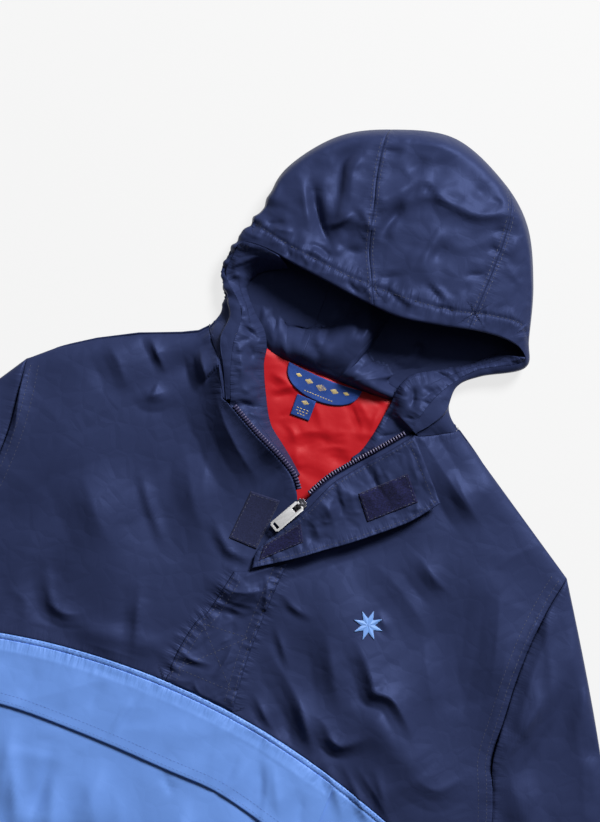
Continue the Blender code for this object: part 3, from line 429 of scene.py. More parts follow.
finishes = {        # colours are display values from 0 to 255; threads and crinkle are in mm
    "navyNylon": {"colour": (42, 50, 82), "deep": (36, 43, 73), "roughness": 0.48, "sheen": 0.0,
                  "gloss": 0.28, "glossTint": (135, 155, 225), "thread": 0.55, "threadDepth": 0.012,
                  "crinkle": 0.30, "crinkleSize": 15},
    "blueNylon": {"colour": (105, 145, 216), "deep": (98, 137, 208), "roughness": 0.42, "sheen": 0.0,
                  "gloss": 0.6, "glossTint": (190, 210, 255), "thread": 0.55, "threadDepth": 0.012,
                  "crinkle": 0.16, "crinkleSize": 15},
    "redLining": {"colour": (176, 20, 30), "deep": (162, 15, 25), "roughness": 0.5, "sheen": 0.0,
                  "gloss": 0.4, "glossTint": (255, 190, 190), "thread": 0.5, "threadDepth": 0.008,
                  "crinkle": 0.12, "crinkleSize": 12},
    "zipTape": {"colour": (34, 38, 66), "deep": (26, 29, 54), "roughness": 0.8, "sheen": 0.05, "gloss": 0.2,
                "glossTint": (150, 160, 220), "thread": 0.8, "threadDepth": 0.08, "crinkle": 0.05,
                "crinkleSize": 5},
    "labelWeave": {"colour": (38, 68, 136), "deep": (28, 52, 112), "roughness": 0.62, "sheen": 0.1,
                   "gloss": 0.3, "glossTint": (190, 205, 255), "thread": 0.45, "threadDepth": 0.05,
                   "crinkle": 0.06, "crinkleSize": 7},
}
threadColours = {"navyThread": (37, 44, 76), "blueThread": (84, 126, 208), "goldThread": (214, 190, 120),
                 "motifThread": (112, 158, 228)}


# Display colour from 0 to 255 turned to scene values, with full alpha
def displayColour(values):
    share = [value / 255 for value in values]
    return (*(s / 12.92 if s <= 0.04045 else ((s + 0.055) / 1.055) ** 2.4 for s in share), 1.0)


# New material with its node tree and its main shader
def newMaterial(name):
    material = bpy.data.materials.new(name)
    material.use_nodes = True
    return material, material.node_tree, material.node_tree.nodes["Principled BSDF"]


# Inputs of a node: a socket is linked in, and a plain value is set on the input itself
def setInputs(tree, node, values):
    for key, value in values.items():
        if isinstance(value, bpy.types.NodeSocket):
            tree.links.new(value, node.inputs[key])
        else:
            node.inputs[key].default_value = value


# Outputs of a new node with its settings and inputs in place
def addNode(tree, kind, values, **settings):
    node = tree.nodes.new("ShaderNode" + kind)
    for key, value in settings.items():
        setattr(node, key, value)
    setInputs(tree, node, values)
    return node.outputs


# Result of a sum on sockets or plain values
def mathNode(tree, operation, *values):
    return addNode(tree, "Math", dict(enumerate(values)), operation=operation)[0]


# Smooth noise over a place
def noiseNode(tree, place, **values):
    return addNode(tree, "TexNoise", {"Vector": place, **values})["Fac"]


# Place on the piece's own axes
def objectPlace(tree):
    return addNode(tree, "TexCoord", {})["Object"]


# Node group with named sockets: the group, what it is given, and the node that takes its results
def newGroup(name, inputs, outputs):
    group = bpy.data.node_groups.new(name, "ShaderNodeTree")
    for way, sockets in (("INPUT", inputs), ("OUTPUT", outputs)):
        for label, kind in sockets.items():
            group.interface.new_socket(label, in_out=way, socket_type="NodeSocket" + kind)
    return group, group.nodes.new("NodeGroupInput").outputs, group.nodes.new("NodeGroupOutput")


# Plain weave as a height: the product of two sine waves across the flat cloth, with uneven threads
def makeWeaveGroup():
    group, given, result = newGroup("plainWeave", {"Flat Cloth": "Vector", "Threads Per Metre": "Float"},
                                    {"Height": "Float", "Slub": "Float"})
    flat = addNode(group, "SeparateXYZ", {0: given["Flat Cloth"]})
    turns = mathNode(group, "MULTIPLY", given["Threads Per Metre"], math.tau)
    warp, weft = (mathNode(group, "SINE", mathNode(group, "MULTIPLY", flat[axis], turns)) for axis in "XY")
    drawn = addNode(group, "Mapping", {"Vector": given["Flat Cloth"], "Scale": (60, 900, 1)})[0]
    slub = noiseNode(group, drawn, Scale=1, Detail=2)
    crossing = mathNode(group, "MULTIPLY", mathNode(group, "MULTIPLY", warp, weft), 0.5)
    setInputs(group, result, {"Height": mathNode(group, "ADD", crossing, slub), "Slub": slub})
    return group


# Faint crinkle left in thin cloth by folding: fine creases between bent cells, stronger here and there
def makeCrinkleGroup():
    group, given, result = newGroup("foldingCrinkle", {"Place": "Vector", "Crinkles Per Metre": "Float"},
                                    {"Height": "Float", "Patches": "Float"})
    place, scale = given["Place"], given["Crinkles Per Metre"]
    bend, patches = (noiseNode(group, place, Scale=mathNode(group, "MULTIPLY", scale, factor), Detail=detail,
                               Roughness=0.55) for factor, detail in ((0.7, 3), (0.22, 2)))
    bent = addNode(group, "VectorMath", {0: bend, 1: (3 * mm, 3 * mm, 3 * mm), 2: place},
                   operation="MULTIPLY_ADD")[0]
    cells = addNode(group, "TexVoronoi", {"Vector": bent, "Scale": scale}, feature="DISTANCE_TO_EDGE")
    crease = mathNode(group, "MINIMUM", mathNode(group, "MULTIPLY", cells["Distance"], 4), 1.0)
    setInputs(group, result, {"Height": mathNode(group, "MULTIPLY", crease, patches), "Patches": patches})
    return group


# Gathers at a seam as a height: noise drawn out square to the seam, fading with the distance from it
def makeGatherGroup():
    group, given, result = newGroup("seamGathers", {"Seam Spot": "Vector", "Reach": "Float"},
                                    {"Height": "Float"})
    spot = addNode(group, "SeparateXYZ", {0: given["Seam Spot"]})
    drawn = addNode(group, "Mapping", {"Vector": given["Seam Spot"], "Scale": (310, 55, 1)})[0]
    share = mathNode(group, "DIVIDE", spot["Y"], given["Reach"])
    squared = mathNode(group, "MULTIPLY", share, share)
    fade = mathNode(group, "EXPONENT", mathNode(group, "MULTIPLY", squared, -1))
    ridges = mathNode(group, "MULTIPLY", noiseNode(group, drawn, Scale=1, Detail=2), fade)
    setInputs(group, result, {"Height": mathNode(group, "MULTIPLY", ridges, spot["Z"])})
    return group


gatherGroup = makeGatherGroup()
weaveGroup = makeWeaveGroup()
crinkleGroup = makeCrinkleGroup()


# Colour between two display colours, by a factor from 0 to 1
def mixColours(tree, factor, first, second):
    mixed = {"Factor": factor, "A": displayColour(first), "B": displayColour(second)}
    return addNode(tree, "Mix", mixed, data_type="RGBA")["Result"]


# Surface normal tilted by a height, over the normal given under it
def addBump(tree, height, distance, **under):
    return addNode(tree, "Bump", {"Strength": 1, "Distance": distance, "Height": height, **under})["Normal"]


# Cloth: weave, folding crinkle and seam gathers as bumps over one another, with a faintly uneven colour
def clothMaterial(name):
    finish = finishes[name]
    material, tree, shader = newMaterial(name)
    flat = addNode(tree, "UVMap", {}, uv_map="flatCloth")["UV"]
    spot = addNode(tree, "Attribute", {}, attribute_name="seamSpot")["Vector"]
    weave = addNode(tree, "Group", {"Flat Cloth": flat, "Threads Per Metre": 1 / (finish["thread"] * mm)},
                    node_tree=weaveGroup)
    crinkle = addNode(tree, "Group", {"Place": objectPlace(tree),
                                      "Crinkles Per Metre": 1 / (finish["crinkleSize"] * mm)},
                      node_tree=crinkleGroup)
    gathers = addNode(tree, "Group", {"Seam Spot": spot, "Reach": 7 * mm}, node_tree=gatherGroup)
    shade = mathNode(tree, "ADD", mathNode(tree, "MULTIPLY", crinkle["Patches"], 0.7),
                     mathNode(tree, "MULTIPLY", weave["Slub"], 0.3))
    uneven = mathNode(tree, "MULTIPLY", crinkle["Patches"], 0.08)
    pulled = addBump(tree, gathers["Height"], 1.7 * mm)
    folds = addBump(tree, crinkle["Height"], finish["crinkle"] * mm, Normal=pulled)
    setInputs(tree, shader, {
        "Base Color": mixColours(tree, shade, finish["deep"], finish["colour"]),
        "Roughness": mathNode(tree, "ADD", uneven, finish["roughness"] - 0.04),
        "Specular IOR Level": finish["gloss"], "Specular Tint": displayColour(finish["glossTint"]),
        "Sheen Weight": finish["sheen"], "Sheen Roughness": 0.4,
        "Normal": addBump(tree, weave["Height"], finish["threadDepth"] * mm, Normal=folds),
    })
    return material


# Hook and loop tape: a thick nap of tiny tufts, with painted shade between them: its colour runs from the
# first, darker colour in the tufts' hollows to the second on their tops
def napMaterial(name, low, high, size, depth):
    material, tree, shader = newMaterial(name)
    tufts = noiseNode(tree, objectPlace(tree), Scale=1 / (size * mm), Detail=4, Roughness=0.7)
    # painted shade: the nap's colour follows the tufts' bump, darkest where it sinks between them
    tuftPaintedShade = mathNode(tree, "MULTIPLY", mathNode(tree, "SUBTRACT", tufts, 0.36), 3.2)
    setInputs(tree, shader, {"Base Color": mixColours(tree, tuftPaintedShade, low, high), "Roughness": 0.92,
                             "Specular IOR Level": 0.25, "Sheen Weight": 0.08,
                             "Normal": addBump(tree, tufts, depth * mm)})
    return material


# Sewing thread: fine twist lines across it over a plain colour
def threadMaterial(name):
    material, tree, shader = newMaterial(name)
    twist = noiseNode(tree, objectPlace(tree), Scale=2500)
    colour = threadColours[name]
    deep = [value * 0.8 for value in colour]
    setInputs(tree, shader, {"Base Color": mixColours(tree, twist, deep, colour), "Roughness": 0.55,
                             "Sheen Weight": 0.3, "Normal": addBump(tree, twist, 0.05 * mm)})
    return material


# Cast metal or moulded plastic: faint wear marks in its roughness and surface
def hardMaterial(name, colour, metallic, roughness, wear):
    material, tree, shader = newMaterial(name)
    marks = noiseNode(tree, objectPlace(tree), Scale=900, Detail=3)
    deep = [value * (1 - wear) for value in colour]
    worn = mathNode(tree, "MULTIPLY", marks, wear)
    setInputs(tree, shader, {"Base Color": mixColours(tree, marks, deep, colour), "Metallic": metallic,
                             "Roughness": mathNode(tree, "ADD", worn, roughness - wear / 2),
                             "Normal": addBump(tree, marks, 0.02 * mm)})
    return material


materials = {name: clothMaterial(name) for name in finishes}
materials.update({name: threadMaterial(name) for name in threadColours})
# each nap's first colour is the painted shade between its tufts, the second the colour of their tops
materials["hookNap"] = napMaterial("hookNap", (8, 9, 34), (26, 29, 76), 1.1, 0.4)
materials["loopNap"] = napMaterial("loopNap", (20, 24, 50), (35, 41, 76), 0.9, 0.15)
materials["polishedMetal"] = hardMaterial("polishedMetal", (236, 236, 238), 0.45, 0.34, 0.1)
materials["darkMetal"] = hardMaterial("darkMetal", (96, 96, 104), 0.85, 0.32, 0.12)
materials["toothPlastic"] = hardMaterial("toothPlastic", (74, 70, 104), 0.0, 0.34, 0.15)
print("finishes are mixed:", len(materials))


bodyCut = {         # mm; the back and front share this outline
    "hemY": -426, "hemHalf": 250, "underarm": (252.8, -77.2), "shoulderTip": (233.6, 136.0),
    "neckLeft": (-110.5, 218.0), "neckRight": (109.0, 213.5),
    "seamTop": (-43.2, -60.4), "seamFall": -0.8375,      # colour seam: falls with the square of x in m
    "armhole": [(252.8, -77.2), (249.0, -62.0), (240.0, -39.6), (232.0, -20.0), (228.6, 14.0),
                (226.0, 46.0), (226.0, 80.0), (229.0, 110.0), (233.6, 136.0)],
    "zipLeft": [(7.0, 118.8), (-2.9, 130.3), (-20.7, 140.4), (-44.0, 150.9), (-69.1, 164.0)],
    "zipRight": [(16.8, 118.4), (26.5, 137.5), (37.0, 151.6), (54.5, 173.0), (73.1, 196.4)],
    "centreTop": (12.4, 108.0), "centreFoot": (-4.0, -62.0),
    "seamGap": 0.2, "wall": 0.8,
}
placketCut = {      # mm; closed lower stretch of the storm flap
    "left": [(-34.6, -60.0), (-34.2, -33.4), (-29.5, -7.5), (-23.2, 5.6), (-16.5, 41.5)],
    "right": [(24.4, -61.0), (20.2, -21.8), (19.5, 19.5), (20.6, 63.2)],
    "top": [(-16.5, 41.5), (-6.0, 46.6), (20.6, 63.2)],
}
frontForm = {       # mm; folds and creases are (path, half width, height, lean)
    "loft": 7.0, "edgeTop": 3.15, "edgeRun": 14.0, "floorClear": 3.6,
    "folds": [
        (((47.1, 64.3), (93.4, 18.3), (143.3, -30.6), (203, -92.7)), 38, 9, 0),
        (((-164.6, 69.3), (-111.6, 13), (-65.4, -37.3)), 34, 5, 0),
        (((-86, 206), (-61, 181), (-33, 165), (-3, 147)), 18, 18.0, 0),
        (((-100, 206), (-66, 180), (-34, 158), (-6, 136)), 32, 9.0, 0), (((98, 200), (62, 150)), 30, 8.0, 0),
        (((-10, 122), (45, 118)), 26, 6.0, 0), (((-152, -2), (-142, -56)), 12, -2.4, 0),
        (((-76, 5), (-70, -48)), 11, -2.4, 0), (((-118, -48), (-48, -36)), 9, 3.2, 0),
        (((97, 14), (122, -20)), 13, -2.4, 0), (((122, -20), (182, -52)), 13, 4.5, 0),
        (((150, 150), (205, 20)), 26, 4.0, 0), (((-165, 160), (-205, 20)), 30, 4.0, 0),
        (((-103, -140), (-90, -215)), 17, 4.0, 0), (((62, -160), (88, -250)), 18, 4.5, 0),
        (((160, -165), (182, -300)), 18, 4.5, 0), (((-195, -165), (-175, -340)), 18, 4.0, 0),
        (((-30, -260), (-10, -400)), 20, 3.5, 0),
    ],
    "slopes": [         # (path, half width, rise): one side of the path lies lower than the other
        (((86.8, 183.9), (125.5, 156.4), (162.2, 134.1)), 9, 4),
        (((67.9, 85.6), (109.5, 67.9), (155.7, 34.9)), 10, 3.4),
        (((189.6, 100.3), (203.2, 36.8), (215.4, -27.3)), 12, 5),
        (((16.2, -4.3), (60.9, -38), (101.2, -82.1)), 8, 5),
        (((-89.8, 142.6), (-79.2, 95.1), (-58.3, 51.8)), 14, 4),
        (((-156.3, 191.7), (-147.2, 184.2), (-138.8, 176.3), (-127.5, 165.4)), 3.6, 6),
        (((-143.9, 148.4), (-132.3, 141), (-120.4, 145.8), (-113.1, 157.4)), 7, 6),
        (((-169.2, 1.8), (-157.5, -22.8), (-146, -40.6), (-130.7, -46.5), (-115.6, -41.2),
          (-103.4, -28.6)), 6, 7),
        (((-232.4, 136.7), (-234.6, 118.6), (-230.9, 101.1), (-226.2, 78.8), (-227.6, 56.7)), 5, 8.5),
        (((233.5, 132.8), (230.4, 116.8), (228.3, 90.1), (226.2, 63.4), (225.5, 37.2),
          (229.3, 8.5)), 5, -5.2),
        (((-117.4, 197.9), (-107.8, 182.8), (-97.7, 170.5), (-89, 170.6)), 7, 11.9),
        (((-104, 172), (-76, 138), (-44, 112), (-20, 100)), 14, 14.0),
        (((-123.4, 92.5), (-105.1, 67.4), (-95.3, 55.9), (-74.1, 32.5)), 3.1, 4.0),
        (((-55.3, 76.5), (-35.6, 57.6), (-23.5, 51.2), (3.7, 52)), 3.8, 5.0),
        (((-89, 11.4), (-79.5, -21.5), (-67.6, -61.1)), 5.4, 6.7),
        (((-182.5, -48.3), (-166.6, -47.2), (-162.1, -71.1)), 6.0, 2.4),
        (((-185, 164.5), (-168, 152.4), (-154.3, 135.6)), 9, 6.1),
        (((-174.2, 65.4), (-145.9, 33.7), (-117.2, 5.6)), 14, 6.8),
        (((-104.6, 119.4), (-80.7, 77.3), (-47.8, 38.8)), 13, 7.1),
        (((-16.9, 22), (7.1, 43.8), (39.1, 71.4), (77, 101.4), (116.4, 136.3)), 7, 10.3),
        (((26.2, 15), (38.8, -0.4), (54.5, -19.5)), 2.6, 3.4),
        (((21.6, 38.7), (38.7, 29.8), (58, 27.7)), 2.9, 3.8),
        (((31.3, -44.3), (45.1, -56.5), (61.8, -71.3)), 3.4, 4.5),
        (((58.3, -32.2), (75.5, -52.8), (92.7, -78.6)), 7.2, 9.5),
        (((78.9, -46.3), (92.7, -48.4), (103.8, -58.6), (116.6, -60.4), (130.8, -48.6),
          (142.3, -34.4)), 5.5, 8.5),
        (((82.9, 31.3), (97.5, 16.5), (112, -0.1), (120.8, -11.2), (135.2, -10.5), (145.8, -17.5),
          (158.5, -29.6),
          (173.6, -47.7)), 6.4, 10.9),
        (((100.2, 53.4), (107.8, 46.5), (116.4, 39)), 2.9, 2.9),
        (((165, -56.3), (181.4, -67), (203.9, -67.3), (223.8, -48.1), (237.4, -39.1)), 9, 5.5),
        (((143.5, -62.4), (154.7, -77.8), (167, -94.8)), 3.6, 4.1),
        (((106, 104.5), (128.5, 89.4), (151.4, 79.7)), 9, 7.8),
        (((106.1, 178.8), (124, 160.1), (146.4, 143.3)), 10, 6.8),
        (((167.2, 125.8), (186.8, 64.7), (197.4, 17.2)), 13, 5.9),
        (((148.2, 66.3), (172.1, 24.2), (193, -10.5)), 12, -5.9),
        (((59.3, 24.5), (78.6, -5), (97.8, -38.7)), 8.4, 6.1),
        (((-43.6, 20.2), (-5, 18.2), (35.1, 39.8)), 9.6, 10.9),
        (((-138.9, -149.9), (-128.7, -170.8), (-116.7, -196.2), (-97.5, -236.8)), 6.2, 2.8),
        (((-105, -156.9), (-92.3, -177.7), (-83.4, -201.7), (-69.2, -240.1)), 7.5, 4.4),
        (((-128.2, -150.8), (-117.6, -166.3), (-108.6, -184.3), (-94.2, -213.1)), 5.0, -2.2),
        (((53.5, -85.9), (64.9, -101.1), (70.8, -122.1), (80.2, -155.7)), 5.0, 2.2),
        (((114, -65), (138.4, -88.7), (163.3, -116.1)), 3.6, 3.3),
        (((126.5, -65.3), (154.1, -84.9), (181.4, -107.5)), 3.6, 3.2),
        (((98.3, -66.5), (119.2, -90.4), (140.4, -119)), 3.8, 2.8),
        (((-78.3, -154.7), (-61.9, -174), (-52.3, -189.1), (-36.9, -213.3)), 8.8, 2.8),
        (((-39.7, -143.4), (-26.3, -159.6), (-18.2, -175.3), (-5.2, -200.4)), 8.8, -2.2),
        (((-114.3, -65.7), (-81, -62.6), (-47.1, -61)), 9, 3.2),
        (((27.2, -74.1), (56.3, -77.8), (92.3, -85.7)), 7, 2.4),
    ],
    "creases": [
        (((-6, 40), (17, 56), (47, 79), (96, 119), (112, 133)), 8, -3.6, 0),
        (((-100, -134), (-94, -172), (-92, -214)), 8.0, -3.2, 0.1),
        (((-136, -130), (-128, -170), (-122, -214)), 9.0, 3.0, 0),
        (((-10, -127), (-2, -136), (7, -144)), 3.0, -1.2, 0),
        (((-58, -134), (-54, -168), (-60, -210)), 10, 2.2, 0),
        (((14, -136), (22, -170), (18, -220)), 10, 2.6, 0),
        (((58, -142), (66, -180), (70, -230)), 8.0, -2.4, 0),
        (((110, -150), (118, -200), (112, -260)), 11, 2.4, 0),
        (((-160, -120), (-166, -180), (-158, -250)), 11, -2.4, 0),
        (((-210, -240), (-190, -300), (-196, -390)), 14, 2.6, 0),
        (((-120, -250), (-108, -320), (-116, -410)), 14, 2.4, 0),
        (((40, -270), (52, -340), (46, -415)), 14, -2.4, 0),
        (((120, -280), (128, -350), (122, -416)), 14, 2.6, 0),
        (((200, -200), (212, -280), (204, -400)), 14, -2.2, 0),
    ],
    "creaseShare": 1.35, "crumple": (70, 1.0, 70, 2.2, 5),      # size, height, heading, stretch, seed
    "nets": [(62, 8.0, 0.8, 62, 1.5, 9), (105, 15.0, 1.7, 58, 2.3, 17)],
    "holePuckers": (10, 0.7, 9),        # reach, height, spacing, then seed: here and below
    "abovePuckers": (9, 0.8, 9, 31), "belowPuckers": (8, 1.1, 4.5, 35),
    "linePuckers": [
        ([(-76, 166.4), (-90, 192.5), (-103, 208.5), (-109.5, 220.5)], 9, 1.3, 6, 41),
        ([(79.5, 197), (95.5, 205.5), (106.5, 215)], 8, 1.0, 6, 43),
    ],
    "curvePuckers": [(placketCut["left"], 9, 2.4, 7.5, 45), (placketCut["right"], 6, 0.9, 4.5, 47),
                     (bodyCut["zipLeft"], 9, 0.9, 6, 49)],
    "rows": 200, "columns": 130,        # of each yoke's grid
}


# Level of the colour seam: a parabola that falls away from its top
def colourSeam(x):
    topX, topY = bodyCut["seamTop"]
    return topY * mm + bodyCut["seamFall"] * (x - topX * mm) ** 2


# The whole colour seam as a line of points, from side to side
def colourSeamLine():
    x = np.linspace(-bodyCut["underarm"][0], bodyCut["underarm"][0], 160) * mm
    return np.stack([x, colourSeam(x)], axis=1)


# Height of the front's outer face: loft, folds and creases, rolled down at shoulders and side seams
def frontHeight(x, y, detail=True):
    form, tip, under = frontForm, bodyCut["shoulderTip"], bodyCut["underarm"]
    hem = bodyCut["hemHalf"], bodyCut["hemY"]
    edges = [metres([bodyCut["neckLeft"], (-tip[0], tip[1])]), metres([bodyCut["neckRight"], tip]),
             metres([under, hem]), metres([(-under[0], under[1]), (-hem[0], hem[1])])]
    gap = np.min([nearestOn(edge, x, y)[0] for edge in edges], axis=0)
    loft = form["loft"] * mm + creaseHeight(x, y, form["folds"], tail=0.35, endShare=0.18)
    if detail:
        loft += form["creaseShare"] * creaseHeight(x, y, form["creases"]) + slopeHeight(x, y, form["slopes"])
        loft += crumpleHeight(x, y, *form["crumple"]) + netHeight(x, y, form["nets"])
    loft = np.maximum(loft, form["floorClear"] * mm)
    share = np.clip(gap / (form["edgeRun"] * mm), 0, 1)
    roll = np.sqrt(1 - (1 - share) ** 2)
    edgeTop = form["edgeTop"] * mm
    height = edgeTop + (loft - edgeTop) * roll
    if detail:
        for sign in (1, -1):
            hole = evenCurve(bodyCut["armhole"], 60) * (sign, 1)
            height += puckerHeight(x, y, hole, *form["holePuckers"], 21 + sign) * roll
        seam = colourSeamLine()
        height += np.where(y > colourSeam(x), puckerHeight(x, y, seam, *form["abovePuckers"]),
                           puckerHeight(x, y, seam, *form["belowPuckers"]))
        for line, *sizes in form["linePuckers"]:
            height += puckerHeight(x, y, metres(line), *sizes)
        for line, *sizes in form["curvePuckers"]:
            height += puckerHeight(x, y, evenCurve(line, 30), *sizes)
    return height


# Share line that crowds toward both of its ends
def crowd(count, amount=0.5):
    even = steps(count)
    return amount * (1 - np.cos(math.pi * even)) / 2 + (1 - amount) * even


# Cloth lifts and sinks near given edges: a rounded turn down by a depth over the last stretch to each edge
def turnDown(grid, edges, depth, width):
    gap = np.min([nearestOn(edge, grid[..., 0], grid[..., 1])[0] for edge in edges], axis=0)
    share = np.clip(gap / (width * mm), 0, 1)
    grid[..., 2] -= depth * mm * (1 - np.sqrt(1 - (1 - share) ** 2))
    return grid


hoodCut = {         # mm; one row a section from the left zip end over the crown to the right zip end:
    # neck seam x, y; fold at the outline x, y, z; face edge x, y, z; share that lies on the ground
    "sections": [
        (-76.0, 166.4, -73.4, 166.9, 19.0, -70.2, 168.4, 21.0, 0.0),
        (-90.0, 192.5, -86.0, 191.0, 20.5, -77.6, 186.5, 24.5, 0.0),
        (-103.0, 208.5, -96.5, 211.0, 18.0, -84.6, 209.5, 24.5, 0.0),
        (-109.5, 220.5, -97.0, 232.5, 11.0, -88.5, 237.5, 21.0, 0.15),
        (-90.0, 220.0, -115.0, 257.5, 6.5, -111.0, 259.0, 16.0, 1.0),
        (-68.0, 217.0, -116.0, 273.0, 7.0, -111.5, 273.5, 20.0, 1.0),
        (-54.0, 215.6, -112.5, 289.5, 8.0, -108.0, 287.5, 27.0, 1.0),
        (-48.0, 215.2, -104.0, 320.0, 8.0, -88.0, 289.5, 32.0, 1.0),
        (-43.0, 215.0, -98.0, 356.0, 8.0, -61.0, 286.0, 36.5, 1.0),
        (-37.0, 215.0, -70.0, 394.5, 8.0, -33.0, 283.0, 39.5, 1.0),
        (-30.0, 215.0, -31.0, 416.5, 8.0, -3.5, 279.8, 41.5, 1.0),
        (-13.0, 215.0, 17.0, 428.5, 8.0, 29.0, 278.3, 42.5, 1.0),
        (2.0, 215.0, 64.0, 412.0, 8.0, 62.5, 284.6, 42.0, 1.0),
        (5.0, 215.0, 97.0, 385.5, 8.0, 89.0, 291.0, 38.5, 1.0),
        (8.0, 215.0, 118.8, 344.0, 8.0, 112.0, 294.0, 33.0, 1.0),
        (9.5, 215.0, 131.8, 302.5, 8.0, 128.5, 291.5, 27.0, 1.0),
        (12.0, 215.0, 137.8, 279.5, 8.0, 133.8, 282.0, 20.0, 1.0),
        (32.0, 215.2, 107.5, 259.8, 6.5, 104.0, 263.8, 15.5, 1.0),
        (72.0, 217.6, 93.5, 245.0, 7.0, 89.0, 246.0, 16.5, 0.9),
        (106.5, 215.0, 93.0, 223.0, 14.0, 80.5, 231.0, 19.5, 0.1),
        (95.5, 205.5, 86.0, 209.5, 16.0, 75.0, 211.5, 20.0, 0.0),
        (79.5, 197.0, 76.6, 198.2, 15.0, 73.8, 199.5, 18.5, 0.0),
    ],
    "neckLeft": 3, "neckRight": 19,         # sections at the neck ends of the shoulders
    "seamLeft": 10, "seamRight": 12,        # sections where the two panel seams start at the outline
    "places": 620, "panelShares": (0.44, 0.12), "crowding": 0.3,        # grid of the left and middle panels
    "seamGap": 0.1, "seamSink": 0.12,       # each panel's edge drawn back and in
    "swingLeft": [(0.5, 0.0), (0.58, -0.1), (0.68, -0.14), (0.78, -0.09), (0.87, -0.03), (0.93, 0.12),
                  (1.0, 0.34)],
    "swingRight": [(0.5, 0.0), (0.57, 0.3), (0.64, 0.52), (0.76, 0.66), (1.0, 0.78)],   # of the two seams
    "bow": [(14, 0.0), (17, 7.0), (18, 0.0)],
    "under": [(0.0, 0.28), (0.05, 1.0), (0.11, 0.86), (0.17, 0.25), (0.23, 0.0), (0.92, 0.0)],
    "upper": [(0.0, 0.0), (0.05, 0.66), (0.2, 0.8), (0.55, 0.92), (1.0, 1.0)],
    "waver": [(0, 1), (5, 1), (6.3, 1.5), (7.4, 1.4), (8.2, 0.95), (9.6, 0.85), (10.6, 1.0), (11.3, 1.75),
              (11.9, 1.9), (12.4, 0.9), (13.6, 0.95), (14.6, 1.3), (16, 1.4), (17, 1), (21, 1)],
    "rollHalf": 60,     # the waver is (section, width of the neck roll)
    "roll": 17, "wall": 1.0, "columns": 380, "rows": (58, 76), "fine": 8,
}
